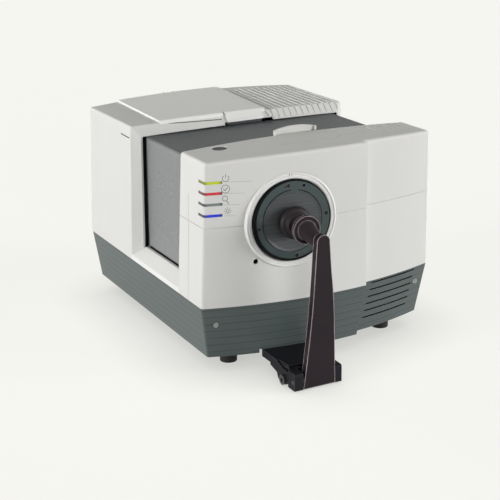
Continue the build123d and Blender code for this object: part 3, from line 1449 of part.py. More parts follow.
with BuildPart() as clamp_screws:
    with Locations(*[(x, y, plate_under) for x, y in clamp_screw_spots]):
        Cylinder(3.6, 2.4, align=hanging)
        Cylinder(screw_r, floor_top - plate_under, align=standing)
    for x, way in ((block_left, 1), (block_right, -1)):
        with BuildSketch(Plane.YZ.offset(x)):
            with Locations((cheek_screw_y, cheek_screw_z)):
                Circle(7.5)
        extrude(amount=-way * 3.5)
        with BuildSketch(Plane.YZ.offset(x)):
            with Locations((cheek_screw_y, cheek_screw_z)):
                Circle(3.0)
        extrude(amount=way * (cheek + 12))
        with BuildSketch(Plane.YZ.offset(x - way * 3.5)):
            with Locations((cheek_screw_y, cheek_screw_z)):
                RegularPolygon(3.4, 6)
        extrude(amount=way * 2.0, mode=Mode.SUBTRACT)
clamp_screws.part.label = "clamp_screws"
export_step(clamp_screws.part, "parts/clamp_screws.step")

with BuildPart() as clamp_pin:
    with BuildSketch(Plane.YZ.offset(block_left)):
        with Locations((pivot_y, pivot_z)):
            Circle(pivot_pin_r)
    extrude(amount=block_right - block_left)
clamp_pin.part.label = "clamp_pin"
export_step(clamp_pin.part, "parts/clamp_pin.step")

coil_left, coil_length = port_x - 12.0, 20.0
coil_outer_r = 4.2
with BuildPart() as clamp_spring:
    add(coil_spring(
        (coil_left, pivot_y, pivot_z), (1, 0, 0), coil_length, pivot_pin_r + gap, coil_outer_r, 8,
    ))
clamp_spring.part.label = "clamp_spring"
export_step(clamp_spring.part, "parts/clamp_spring.step")

# Arm: flat plate that narrows to a rounded top, with a bored foot and a pocket for the spring.
neck_x = port_x + 3.0
neck_z = port_z - 16.0
neck_r = 8.5
with BuildPart() as clamp_arm:
    with BuildSketch(Plane.XZ.offset(-(clamp_face + arm_thickness))):
        with BuildLine():
            Line((arm_foot_left, arm_foot_z), (arm_foot_right, arm_foot_z))
            Line((arm_foot_right, arm_foot_z), (arm_foot_right - 1.6, port_z - 129))
            ThreePointArc(
                (arm_foot_right - 1.6, port_z - 129),
                (arm_foot_right - 3.6, port_z - 88),
                (arm_foot_right - 6.4, port_z - 58),
            )
            Line((arm_foot_right - 6.4, port_z - 58), (arm_foot_right - 9.6, arm_top_z - 12))
            ThreePointArc(
                (arm_foot_right - 9.6, arm_top_z - 12),
                (port_x + 3.6, arm_top_z),
                (arm_foot_left + 22.3, arm_top_z - 11.5),
            )
            Line((arm_foot_left + 22.3, arm_top_z - 11.5), (arm_foot_left + 16.2, port_z - 98))
            ThreePointArc(
                (arm_foot_left + 16.2, port_z - 98),
                (arm_foot_left + 10.0, port_z - 156),
                (arm_foot_left, arm_foot_z),
            )
        make_face()
    extrude(amount=arm_thickness)
    fillet(clamp_arm.edges().filter_by(Axis.X).sort_by(Axis.Z)[:2], 2.0)
    with BuildSketch(Plane.YZ.offset(arm_foot_left - 1)):
        with Locations((pivot_y, pivot_z)):
            Circle(pivot_pin_r + running_fit)
    extrude(amount=arm_foot_right - arm_foot_left + 2, mode=Mode.SUBTRACT)
    with BuildSketch(Plane.YZ.offset(coil_left - gap)):
        with Locations((pivot_y, pivot_z)):
            Circle(coil_outer_r + gap)
        with Locations((pivot_y, pivot_z)):
            Rectangle(arm_thickness, 2 * (coil_outer_r + gap), align=(Align.MIN, Align.CENTER))
    extrude(amount=coil_length + 2 * gap, mode=Mode.SUBTRACT)
clamp_arm.part.label = "clamp_arm"
export_step(clamp_arm.part, "parts/clamp_arm.step")

hub_back = hub_front - hub_thickness
hub_neck_r = 14.0
stem_reach = 5.0
hub_plane = Plane(
    origin=(port_x - (port_seat - hub_back) * sin(radians(port_turn)),
            port_seat - (port_seat - hub_back) * cos(radians(port_turn)), port_z),
    x_dir=(cos(radians(port_turn)), -sin(radians(port_turn)), 0),
    z_dir=(-sin(radians(port_turn)), -cos(radians(port_turn)), 0),
)
with BuildPart() as clamp_neck:
    with BuildSketch(Plane.XZ.offset(-(clamp_face + arm_thickness))):
        with Locations((neck_x, neck_z)):
            Circle(neck_r)
    with BuildSketch(hub_plane):
        Circle(hub_neck_r)
    loft(ruled=True)
    add(faced(disc(port_x, port_z, hub_r, hub_back, hub_front)))
    add(faced(disc(port_x, port_z, stem_r + gap, hub_front - stem_reach - pad_travel - 1, hub_front + 1)),
        mode=Mode.SUBTRACT)
clamp_neck.part.label = "clamp_neck"
export_step(clamp_neck.part, "parts/clamp_neck.step")

pad_back = pad_front - pad_thickness
pad_neck_r = 15.0
with BuildPart() as straight_clamp_pad:
    with BuildSketch(Plane(origin=port_axis, x_dir=(1, 0, 0), z_dir=(0, 0, 1))):
        with BuildLine():
            Line((0, pad_front), (pad_r - 2.5, pad_front))
            ThreePointArc(
                (pad_r - 2.5, pad_front), (pad_r, pad_front - 4.5), (pad_neck_r + 3.5, pad_front - 11.5),
            )
            Line((pad_neck_r + 3.5, pad_front - 11.5), (pad_neck_r, pad_back))
            Line((pad_neck_r, pad_back), (stem_r, pad_back))
            Line((stem_r, pad_back), (stem_r, hub_front - stem_reach))
            Line((stem_r, hub_front - stem_reach), (0, hub_front - stem_reach))
            Line((0, hub_front - stem_reach), (0, pad_front))
        make_face()
    revolve(axis=Axis(port_axis, (0, 1, 0)))
with BuildPart() as clamp_pad:
    add(faced(straight_clamp_pad.part))
clamp_pad.part.label = "clamp_pad"
export_step(clamp_pad.part, "parts/clamp_pad.step")

with BuildPart() as pad_spring:
    add(faced(coil_spring(
        (port_x, hub_front, port_z), (0, 1, 0), pad_back - hub_front, stem_r + gap, stem_r + 2.5, 6,
    )))
pad_spring.part.label = "pad_spring"
export_step(pad_spring.part, "parts/pad_spring.step")
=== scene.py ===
"""Benchtop sphere colorimeter: finishes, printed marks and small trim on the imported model, in a studio."""

import json
from math import atan2, cos, degrees, pi, radians, sin

import bmesh
import bpy
from mathutils import Matrix, Vector


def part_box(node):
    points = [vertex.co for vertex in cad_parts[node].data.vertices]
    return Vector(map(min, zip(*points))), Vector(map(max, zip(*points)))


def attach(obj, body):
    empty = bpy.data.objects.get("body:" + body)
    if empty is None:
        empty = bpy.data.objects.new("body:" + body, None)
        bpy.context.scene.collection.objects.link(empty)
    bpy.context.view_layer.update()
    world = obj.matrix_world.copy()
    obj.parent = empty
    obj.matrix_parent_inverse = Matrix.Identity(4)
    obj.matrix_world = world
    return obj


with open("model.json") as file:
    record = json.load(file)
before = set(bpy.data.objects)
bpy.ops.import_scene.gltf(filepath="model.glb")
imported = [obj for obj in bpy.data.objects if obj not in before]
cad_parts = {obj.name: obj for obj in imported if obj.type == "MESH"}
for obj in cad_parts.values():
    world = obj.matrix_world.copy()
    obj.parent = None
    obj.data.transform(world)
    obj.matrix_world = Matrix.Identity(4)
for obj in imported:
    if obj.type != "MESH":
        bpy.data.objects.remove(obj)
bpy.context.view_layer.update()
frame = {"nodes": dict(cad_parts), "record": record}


# ---------------------------------------------------------------- helpers


def clear_selection():
    """Leave nothing selected, so that the next operator acts on one piece alone."""
    for obj in bpy.context.selected_objects:
        obj.select_set(False)


def srgb(red, green, blue):
    """Linear colour from the 0-255 values that a screen shows."""
    linear = []
    for value in (red, green, blue):
        v = value / 255
        linear.append(v / 12.92 if v <= 0.04045 else ((v + 0.055) / 1.055) ** 2.4)
    return (*linear, 1.0)


# ---------------------------------------------------------------- shared shader effects
mix_first = 6                   # colour sockets of a Mix node: first, second and result
mix_second = 7
mix_result = 2
bump_height = 0.0004
streak_stretch = (0.02, 0.02, 1.0)
corner_reach = 0.006            # painted corner shade reaches this far out of a corner
trace_samples = 4


def effect(name, inputs, outputs):
    """New shader node group: its tree, its input node and its output node."""
    group = bpy.data.node_groups.new(name, "ShaderNodeTree")
    kinds = {"C": "NodeSocketColor", "F": "NodeSocketFloat", "V": "NodeSocketVector"}
    for kind, label in inputs:
        group.interface.new_socket(label, in_out="INPUT", socket_type=kinds[kind])
    for kind, label in outputs:
        group.interface.new_socket(label, in_out="OUTPUT", socket_type=kinds[kind])
    return group, group.nodes.new("NodeGroupInput"), group.nodes.new("NodeGroupOutput")


def arithmetic(group, operation, *values):
    """Math node in a group; each value is a socket or a number. Gives its output."""
    node = group.nodes.new("ShaderNodeMath")
    node.operation = operation
    for place, value in enumerate(values):
        if isinstance(value, (int, float)):
            node.inputs[place].default_value = value
        else:
            group.links.new(value, node.inputs[place])
    return node.outputs[0]


def blended(group, amount, first, second):
    """Colour mix in a group by a mask. Gives its output."""
    mix = group.nodes.new("ShaderNodeMix")
    mix.data_type = "RGBA"
    group.links.new(amount, mix.inputs["Factor"])
    group.links.new(first, mix.inputs[mix_first])
    group.links.new(second, mix.inputs[mix_second])
    return mix.outputs[mix_result]


def clamped(group, value):
    """Value held between 0 and 1."""
    return arithmetic(group, "MINIMUM", arithmetic(group, "MAXIMUM", value, 0.0), 1.0)


def sharpened(group, value, gain, offset):
    """Mask with a harder step: gain times the value plus the offset, held between 0 and 1."""
    return clamped(group, arithmetic(group, "MULTIPLY_ADD", value, gain, offset))


def noise(group, scale, detail, stretch=None):
    """Noise on Object coordinates, with an optional stretch along the axes."""
    where = group.nodes.new("ShaderNodeTexCoord").outputs["Object"]
    if stretch:
        turn = group.nodes.new("ShaderNodeMapping")
        turn.inputs["Scale"].default_value = stretch
        group.links.new(where, turn.inputs["Vector"])
        where = turn.outputs[0]
    texture = group.nodes.new("ShaderNodeTexNoise")
    texture.inputs["Detail"].default_value = detail
    group.links.new(where, texture.inputs["Vector"])
    group.links.new(scale, texture.inputs["Scale"])
    return texture.outputs["Fac"]


def grain_effect():
    """Moulded or sprayed grain: a fine bump, a slight drift of colour and a matching roughness."""
    group, inside, out = effect("fine_grain", [
        ("C", "Base"), ("C", "Drift"), ("F", "Grain Scale"), ("F", "Drift Scale"), ("F", "Drift Amount"),
        ("F", "Bump"), ("F", "Roughness"), ("F", "Roughness Spread"), ("F", "Relief")],
        [("C", "Color"), ("F", "Roughness"), ("V", "Normal")])
    fine = noise(group, inside.outputs["Grain Scale"], 3.0)
    broad = noise(group, inside.outputs["Drift Scale"], 2.0)
    drift = arithmetic(group, "MULTIPLY", broad, inside.outputs["Drift Amount"])
    group.links.new(blended(group, drift, inside.outputs["Base"], inside.outputs["Drift"]),
                    out.inputs["Color"])
    bump = group.nodes.new("ShaderNodeBump")
    bump.inputs["Distance"].default_value = bump_height
    group.links.new(inside.outputs["Bump"], bump.inputs["Strength"])
    group.links.new(arithmetic(group, "ADD", fine, inside.outputs["Relief"]), bump.inputs["Height"])
    group.links.new(bump.outputs["Normal"], out.inputs["Normal"])
    group.links.new(arithmetic(group, "MULTIPLY_ADD", fine, inside.outputs["Roughness Spread"],
                               inside.outputs["Roughness"]), out.inputs["Roughness"])
    return group


def fleck_effect():
    """Two-tone flecks of a textured powder coat, with their relief; the light flecks also paint sheen on the
    sides and thin out on tops as painted shade.
    """
    group, inside, out = effect("coat_flecks", [
        ("C", "Color"), ("C", "Fleck Color"), ("F", "Fleck Scale"), ("F", "Amount"), ("F", "Top Shade")],
        [("C", "Color"), ("F", "Relief")])
    dots = noise(group, inside.outputs["Fleck Scale"], 1.0)
    sharp = sharpened(group, dots, 4.0, -1.5)
    split = group.nodes.new("ShaderNodeSeparateXYZ")
    group.links.new(group.nodes.new("ShaderNodeNewGeometry").outputs["Normal"], split.inputs[0])
    # painted shade: fewer light flecks where the face looks up
    top_shade = arithmetic(group, "MULTIPLY", arithmetic(group, "ABSOLUTE", split.outputs["Z"]),
                        inside.outputs["Top Shade"])
    cover = arithmetic(group, "MULTIPLY_ADD", sharp, 0.5, 0.5)
    mask = arithmetic(group, "MULTIPLY", arithmetic(group, "MULTIPLY", cover, inside.outputs["Amount"]),
                      arithmetic(group, "SUBTRACT", 1.0, top_shade))
    group.links.new(blended(group, mask, inside.outputs["Color"], inside.outputs["Fleck Color"]),
                    out.inputs["Color"])
    group.links.new(arithmetic(group, "MULTIPLY", sharp, arithmetic(group, "SUBTRACT", 1.0, top_shade)),
                    out.inputs["Relief"])
    return group


def streak_effect():
    """Fine level streaks, as a drawn sheet or a turned plate has."""
    group, inside, out = effect("level_streaks", [
        ("C", "Color"), ("C", "Streak Color"), ("F", "Fineness"), ("F", "Amount")],
        [("C", "Color"), ("F", "Relief")])
    lines = noise(group, inside.outputs["Fineness"], 3.0, streak_stretch)
    sharp = sharpened(group, lines, 3.0, -1.0)
    mask = arithmetic(group, "MULTIPLY", sharp, inside.outputs["Amount"])
    group.links.new(blended(group, mask, inside.outputs["Color"], inside.outputs["Streak Color"]),
                    out.inputs["Color"])
    group.links.new(arithmetic(group, "MULTIPLY", mask, 0.6), out.inputs["Relief"])
    return group


def groove_effect():
    """Level grooves at an even pitch, as pressed into the base's wrapper."""
    group, inside, out = effect("level_grooves", [
        ("C", "Color"), ("C", "Groove Color"), ("F", "Pitch"), ("F", "First"), ("F", "Narrowness"),
        ("F", "Amount")], [("C", "Color"), ("F", "Relief")])
    split = group.nodes.new("ShaderNodeSeparateXYZ")
    group.links.new(group.nodes.new("ShaderNodeTexCoord").outputs["Object"], split.inputs[0])
    above = arithmetic(group, "SUBTRACT", split.outputs["Z"], inside.outputs["First"])
    turns = arithmetic(group, "DIVIDE", above, inside.outputs["Pitch"])
    wave = arithmetic(group, "COSINE", arithmetic(group, "MULTIPLY", turns, 2 * pi))
    ridge = arithmetic(group, "POWER", arithmetic(group, "MULTIPLY_ADD", wave, 0.5, 0.5),
                       inside.outputs["Narrowness"])
    mask = arithmetic(group, "MULTIPLY", ridge, inside.outputs["Amount"])
    group.links.new(blended(group, mask, inside.outputs["Color"], inside.outputs["Groove Color"]),
                    out.inputs["Color"])
    group.links.new(arithmetic(group, "MULTIPLY", ridge, -2.0), out.inputs["Relief"])
    return group


def painted_edge_and_corner_effect():
    """Painted highlight on edges, broken up by a patchy mask, and painted shade in the corners."""
    group, inside, out = effect("painted_edge_highlight_and_corner_shade", [
        ("C", "Color"), ("C", "Edge Highlight Color"), ("F", "Edge Width"), ("F", "Edge Amount"), ("F", "Patch Scale"),
        ("C", "Corner Shade Color"), ("F", "Corner Amount")], [("C", "Color")])
    rounded = group.nodes.new("ShaderNodeBevel")
    rounded.samples = trace_samples
    group.links.new(inside.outputs["Edge Width"], rounded.inputs["Radius"])
    dot = group.nodes.new("ShaderNodeVectorMath")
    dot.operation = "DOT_PRODUCT"
    group.links.new(rounded.outputs[0], dot.inputs[0])
    group.links.new(group.nodes.new("ShaderNodeNewGeometry").outputs["Normal"], dot.inputs[1])
    # painted highlight: lighter where the bevelled normal turns away from the true one, on edges
    edge = arithmetic(group, "MULTIPLY_ADD", dot.outputs["Value"], -4.0, 4.0)
    patches = arithmetic(group, "MULTIPLY_ADD", noise(group, inside.outputs["Patch Scale"], 2.0), 1.4, -0.1)
    edge = arithmetic(group, "MULTIPLY", arithmetic(group, "MULTIPLY", edge, patches),
                      inside.outputs["Edge Amount"])
    color = blended(group, clamped(group, edge), inside.outputs["Color"], inside.outputs["Edge Highlight Color"])
    # painted shade: darker where other faces are near, in corners
    hollow = group.nodes.new("ShaderNodeAmbientOcclusion")
    hollow.samples = trace_samples
    hollow.inputs["Distance"].default_value = corner_reach
    held = arithmetic(group, "MULTIPLY", arithmetic(group, "SUBTRACT", 1.0, hollow.outputs["AO"]),
                      inside.outputs["Corner Amount"])
    group.links.new(blended(group, held, color, inside.outputs["Corner Shade Color"]), out.inputs["Color"])
    return group


grain = grain_effect()
flecks = fleck_effect()
streaks = streak_effect()
grooves = groove_effect()
edge_highlight_and_corner_shade = painted_edge_and_corner_effect()


def placed(mat, group, values, color=None):
    """Shared effect in a material, with its own values and the colour that comes in."""
    node = mat.node_tree.nodes.new("ShaderNodeGroup")
    node.node_tree = group
    for label, value in values.items():
        node.inputs[label].default_value = value
    if color:
        mat.node_tree.links.new(color, node.inputs["Color"])
    return node


plain_highlight_lift = 1.6           # a painted edge highlight is this much lighter than the body, unless a finish says
plain_highlight = (0.0006, 0.4, 90.0)   # width, amount and patch scale
plain_corner_shade = 0.45
plain_corner_amount = 0.35


def grained(name, base, drift, grain_scale=900.0, drift_scale=8.0, drift_amount=0.5, bump=0.25, roughness=0.5,
            spread=0.1, metallic=0.0, specular=0.5, coat=0.0, edge=None, corner=None, extras=()):
    """Finish with the shared grain, painted edge highlights and painted corner shade: plastic, paint, rubber
    or metal by its values.

    An edge is the colour, width, amount and patch scale of its painted highlight; a corner is the colour and
    amount of its painted shade. The extras are further shared effects, each with its own values.
    """
    mat = bpy.data.materials.new(name)
    mat.use_nodes = True
    links = mat.node_tree.links
    shader = mat.node_tree.nodes["Principled BSDF"]
    surface = placed(mat, grain, {
        "Base": base, "Drift": drift, "Grain Scale": grain_scale, "Drift Scale": drift_scale,
        "Drift Amount": drift_amount, "Bump": bump, "Roughness": roughness - spread / 2,
        "Roughness Spread": spread})
    color = surface.outputs["Color"]
    for group, values in extras:
        layer = placed(mat, group, values, color)
        color = layer.outputs["Color"]
        links.new(layer.outputs["Relief"], surface.inputs["Relief"])
    lighter = tuple(min(1.0, plain_highlight_lift * part) for part in base)
    darker = (*(plain_corner_shade * part for part in base[:3]), 1.0)
    edge_highlight_color, edge_width, edge_amount, patch = edge or (lighter, *plain_highlight)
    corner_shade_color, corner_amount = corner or (darker, plain_corner_amount)
    layer = placed(mat, edge_highlight_and_corner_shade, {
        "Edge Highlight Color": edge_highlight_color, "Edge Width": edge_width, "Edge Amount": edge_amount, "Patch Scale": patch,
        "Corner Shade Color": corner_shade_color, "Corner Amount": corner_amount}, color)
    links.new(layer.outputs["Color"], shader.inputs["Base Color"])
    links.new(surface.outputs["Roughness"], shader.inputs["Roughness"])
    links.new(surface.outputs["Normal"], shader.inputs["Normal"])
    shader.inputs["Metallic"].default_value = metallic
    shader.inputs["Specular IOR Level"].default_value = specular
    shader.inputs["Coat Weight"].default_value = coat
    return mat


def glass(name, tint, roughness=0.02):
    """Clear optical or lamp glass."""
    mat = bpy.data.materials.new(name)
    mat.use_nodes = True
    shader = mat.node_tree.nodes["Principled BSDF"]
    shader.inputs["Base Color"].default_value = tint
    shader.inputs["Roughness"].default_value = roughness
    shader.inputs["Transmission Weight"].default_value = 1.0
    return mat


def light_pipe(name, bright, deep):
    """Coloured light pipe whose ends run into the dark, by the distance from its lit middle."""
    mat = grained(name, bright, deep, grain_scale=400, drift_scale=60, drift_amount=0.5, bump=0.04,
                  roughness=0.25, spread=0.06, coat=0.3)
    nodes, links = mat.node_tree.nodes, mat.node_tree.links
    split = nodes.new("ShaderNodeSeparateXYZ")
    links.new(nodes.new("ShaderNodeTexCoord").outputs["Object"], split.inputs[0])
    away = arithmetic(mat.node_tree, "ABSOLUTE", arithmetic(mat.node_tree, "SUBTRACT", split.outputs["X"],
                                                            pipe_middle))
    ends = sharpened(mat.node_tree, away, 1 / pipe_fade, -pipe_lit / pipe_fade)
    mix = nodes.new("ShaderNodeMix")
    mix.data_type = "RGBA"
    mix.inputs[mix_second].default_value = pipe_end_tone
    shader = nodes["Principled BSDF"]
    with_edge_light_and_shade = shader.inputs["Base Color"].links[0].from_socket
    links.new(ends, mix.inputs["Factor"])
    links.new(with_edge_light_and_shade, mix.inputs[mix_first])
    links.new(mix.outputs[mix_result], shader.inputs["Base Color"])
    return mat


# ---------------------------------------------------------------- finishes
pipe_middle = -0.1815
pipe_lit = 0.0075
pipe_fade = 0.006
pipe_end_tone = (0.03, 0.032, 0.03, 1)
groove_pitch = 0.0114
groove_first = 0.1035
# below, every edge value paints a highlight on the edges and every corner value paints shade in the corners
steel_edge_highlight = ((0.8, 0.8, 0.78, 1), 0.0004, 0.5, 300.0)
housing_white = grained("housing_white", (0.755, 0.752, 0.73, 1), (0.70, 0.695, 0.665, 1), grain_scale=1100,
                        drift_scale=7, drift_amount=0.5, bump=0.16, roughness=0.55, spread=0.08,
                        specular=0.2, edge=((0.86, 0.86, 0.85, 1), 0.0012, 0.75, 70.0),
                        corner=((0.42, 0.41, 0.38, 1), 0.3))
base_dark = grained("base_dark", (0.066, 0.090, 0.091, 1), (0.086, 0.104, 0.100, 1), grain_scale=1000,
                    drift_scale=9, drift_amount=0.8, bump=0.3, roughness=0.42, spread=0.12, specular=0.4,
                    edge=((0.30, 0.32, 0.31, 1), 0.0009, 0.6, 240.0),
                    extras=[(streaks, {"Streak Color": (0.11, 0.125, 0.12, 1), "Fineness": 900.0,
                                       "Amount": 0.35}),
                            (grooves, {"Groove Color": (0.034, 0.044, 0.046, 1), "Pitch": groove_pitch,
                                       "First": groove_first, "Narrowness": 40.0, "Amount": 0.75})])
finishes = {
    "white_housing": housing_white,
    "dark_base": base_dark,
    "dark_cover": grained("cover_powder_coat", (0.044, 0.052, 0.058, 1), (0.058, 0.066, 0.072, 1),
                          grain_scale=700, drift_scale=30, drift_amount=0.6, bump=0.4, roughness=0.5,
                          spread=0.16, specular=0.22, edge=((0.32, 0.33, 0.33, 1), 0.0022, 0.8, 120.0),
                          # light flecks: the coat's own, and also painted sheen on the cover's sides; Top
                          # Shade makes the tops darker
                          extras=[(flecks, {"Fleck Color": (0.40, 0.41, 0.40, 1), "Fleck Scale": 900.0,
                                            "Amount": 0.78, "Top Shade": 0.84})]),
    "light_grey": grained("grip_grey", (0.60, 0.60, 0.575, 1), (0.54, 0.54, 0.51, 1), grain_scale=900,
                          drift_scale=20, drift_amount=0.5, bump=0.15, roughness=0.42),
    "feet": grained("foot_rubber", (0.008, 0.008, 0.008, 1), (0.035, 0.035, 0.035, 1), grain_scale=600,
                    drift_scale=60, drift_amount=0.6, bump=0.35, roughness=0.75, specular=0.3),
    "screws": grained("plain_steel", (0.55, 0.55, 0.54, 1), (0.42, 0.42, 0.41, 1), grain_scale=1500,
                      drift_scale=200, drift_amount=0.6, bump=0.1, roughness=0.28, spread=0.1, metallic=1.0,
                      edge=steel_edge_highlight),
    "black_screws": grained("black_oxide", (0.020, 0.020, 0.022, 1), (0.036, 0.036, 0.038, 1),
                            grain_scale=1200, drift_scale=150, drift_amount=0.6, bump=0.15, roughness=0.35,
                            spread=0.1, edge=((0.2, 0.2, 0.2, 1), 0.0005, 0.5, 200.0)),
    "springs": grained("spring_steel", (0.5, 0.5, 0.49, 1), (0.42, 0.42, 0.41, 1), grain_scale=1500,
                       drift_scale=200, drift_amount=0.5, bump=0.1, roughness=0.25, spread=0.1,
                       metallic=1.0),
    "sheet_metal": grained("zinc_sheet", (0.48, 0.49, 0.5, 1), (0.38, 0.39, 0.4, 1), grain_scale=500,
                           drift_scale=40, drift_amount=0.8, bump=0.1, roughness=0.4, spread=0.15,
                           metallic=1.0, edge=steel_edge_highlight),
    "deck_metal": grained("deck_aluminium", (0.6, 0.6, 0.6, 1), (0.5, 0.5, 0.5, 1), grain_scale=900,
                          drift_scale=40, drift_amount=0.6, bump=0.1, roughness=0.38, spread=0.1,
                          metallic=1.0, edge=steel_edge_highlight),
    "sphere_metal": grained("sphere_coating", (0.8, 0.8, 0.79, 1), (0.74, 0.74, 0.73, 1), grain_scale=1400,
                            drift_scale=30, drift_amount=0.5, bump=0.2, roughness=0.7),
    "port_ring": grained("ring_enamel", (0.037, 0.056, 0.057, 1), (0.052, 0.071, 0.070, 1),
                         grain_scale=1100, drift_scale=40, drift_amount=0.6, bump=0.15, roughness=0.35,
                         specular=0.4, edge=((0.5, 0.52, 0.52, 1), 0.0007, 0.8, 160.0)),
    "port_plate": grained("plate_satin", (0.045, 0.050, 0.053, 1), (0.066, 0.072, 0.076, 1),
                          grain_scale=1300, drift_scale=60, drift_amount=0.6, bump=0.1, roughness=0.40,
                          spread=0.1, specular=0.4, edge=((0.4, 0.4, 0.4, 1), 0.0006, 0.5, 200.0),
                          extras=[(streaks, {"Streak Color": (0.14, 0.145, 0.15, 1), "Fineness": 700.0,
                                             "Amount": 0.32})]),
    "clamp_arm": grained("arm_paint", (0.010, 0.0052, 0.009, 1), (0.020, 0.011, 0.016, 1), grain_scale=1000,
                         drift_scale=30, drift_amount=0.6, bump=0.15, roughness=0.30, spread=0.08,
                         specular=0.22, edge=((0.80, 0.68, 0.66, 1), 0.0020, 1.7, 40.0)),
    "clamp_black": grained("bracket_black", (0.005, 0.005, 0.008, 1), (0.012, 0.012, 0.016, 1),
                           grain_scale=1000, drift_scale=60, drift_amount=0.6, bump=0.2, roughness=0.55,
                           spread=0.1, specular=0.15, edge=((0.22, 0.22, 0.23, 1), 0.001, 0.8, 120.0)),
    "clamp_pad": grained("pad_black", (0.012, 0.008, 0.010, 1), (0.024, 0.018, 0.020, 1), grain_scale=900,
                         drift_scale=60, drift_amount=0.5, bump=0.2, roughness=0.5, specular=0.2,
                         edge=((0.2, 0.18, 0.18, 1), 0.001, 0.6, 120.0)),
    "lens_glass": glass("lens_glass", (0.93, 0.97, 1.0, 1)),
    "lamp_glass": glass("lamp_glass", (0.95, 0.96, 1.0, 1)),
    "optic_black": grained("optic_black", (0.018, 0.018, 0.019, 1), (0.03, 0.03, 0.03, 1), grain_scale=1200,
                           drift_scale=60, drift_amount=0.5, bump=0.3, roughness=0.75, specular=0.3),
    "board": grained("board_laminate", (0.01, 0.09, 0.035, 1), (0.02, 0.13, 0.05, 1), grain_scale=300,
                     drift_scale=90, drift_amount=0.7, bump=0.2, roughness=0.4),
    "black_plastic": grained("black_plastic", (0.018, 0.018, 0.020, 1), (0.032, 0.032, 0.034, 1),
                             grain_scale=1000, drift_scale=60, drift_amount=0.5, bump=0.25, roughness=0.48,
                             specular=0.4),
    "button": grained("button_plastic", (0.006, 0.007, 0.008, 1), (0.014, 0.016, 0.018, 1),
                      grain_scale=1100, drift_scale=60, drift_amount=0.5, bump=0.1, roughness=0.35,
                      specular=0.08, edge=((0.5, 0.5, 0.48, 1), 0.0008, 0.7, 120.0)),
    "indicator_yellow": light_pipe("pipe_yellow", (0.58, 0.68, 0.008, 1), (0.44, 0.52, 0.004, 1)),
    "indicator_red": light_pipe("pipe_red", (0.70, 0.025, 0.04, 1), (0.5, 0.012, 0.02, 1)),
    "indicator_clear": light_pipe("pipe_clear", (0.20, 0.25, 0.235, 1), (0.14, 0.18, 0.17, 1)),
    "indicator_blue": light_pipe("pipe_blue", (0.006, 0.03, 0.74, 1), (0.003, 0.015, 0.5, 1)),
}
# black for the pieces that paint shade in gaps, slots and slits
shade_black = grained("shade_black", (0.004, 0.004, 0.005, 1), (0.010, 0.010, 0.011, 1), grain_scale=700,
                     drift_scale=60, drift_amount=0.5, bump=0.5, roughness=0.9, spread=0.1, specular=0.1)
print_grey = grained("print_grey", (0.17, 0.17, 0.165, 1), (0.24, 0.24, 0.23, 1), grain_scale=900,
                     drift_scale=120, drift_amount=0.8, bump=0.05, roughness=0.5, spread=0.1)
# grey for the moulded lines beside the light pipes, and for the painted shade line of the front cover's
# crease
line_and_shade_grey = grained("moulded_line_and_shade_grey", (0.40, 0.40, 0.38, 1), (0.50, 0.50, 0.47, 1), grain_scale=900,
                    drift_scale=120, drift_amount=0.8, bump=0.05, roughness=0.6, spread=0.1)
# black for painted shade lines: under the lid's lip and beside the port's index
line_shade_black = grained("line_shade_black", (0.03, 0.03, 0.03, 1), (0.06, 0.06, 0.055, 1), grain_scale=900,
                       drift_scale=90, drift_amount=0.6, bump=0.1, roughness=0.7, spread=0.1, specular=0.2)
# dark grey for the painted shade under the lid's flap
flap_shade_grey = grained("shade_strip_grey", (0.040, 0.046, 0.052, 1), (0.055, 0.06, 0.066, 1), grain_scale=900,
                       drift_scale=60, drift_amount=0.6, bump=0.3, roughness=0.6, spread=0.1, specular=0.3)
# white for the port's index tick, and painted highlight on the roof's rib crests
tick_and_highlight_white = grained("tick_and_highlight_white", (0.84, 0.84, 0.82, 1), (0.78, 0.78, 0.75, 1), grain_scale=900,
                     drift_scale=80, drift_amount=0.5, bump=0.05, roughness=0.4, spread=0.1)
own_finish = {
    "ring_screws": finishes["black_screws"],
    "clamp_pin": finishes["black_screws"],
    "base_screws": grained("base_screw_steel", (0.30, 0.30, 0.30, 1), (0.20, 0.20, 0.20, 1),
                           grain_scale=1500, drift_scale=300, drift_amount=0.7, bump=0.1, roughness=0.3,
                           spread=0.1, metallic=0.8, edge=((0.95, 0.95, 0.94, 1), 0.0009, 1.4, 300.0)),
    # a lighter copy of the housing white for the sills, the port's bezel and the lid: painted light on these
    # parts
    "side_sills": grained("housing_white_painted_lighter", (0.86, 0.857, 0.835, 1), (0.80, 0.795, 0.765, 1), grain_scale=1100,
                          drift_scale=7, drift_amount=0.5, bump=0.16, roughness=0.5, spread=0.08,
                          edge=((0.9, 0.9, 0.89, 1), 0.0012, 0.75, 70.0),
                          corner=((0.42, 0.41, 0.38, 1), 0.3)),
}
for node in ("port_bezel", "rear_lid"):
    own_finish[node] = own_finish["side_sills"]
slot_of = {part["node"]: part["material_slot"] for part in frame["record"]["subparts"]}
for node, obj in frame["nodes"].items():
    obj.data.materials.clear()
    obj.data.materials.append(own_finish.get(node, finishes[slot_of[node]]))


# ---------------------------------------------------------------- small trim
outside = 0.6                   # beyond every face, where a ray towards the object starts
stroke_sides = 40
port_sides = 96
smooth_angle = radians(35)
sharp_angle = radians(60)       # edges sharper than this are bevelled


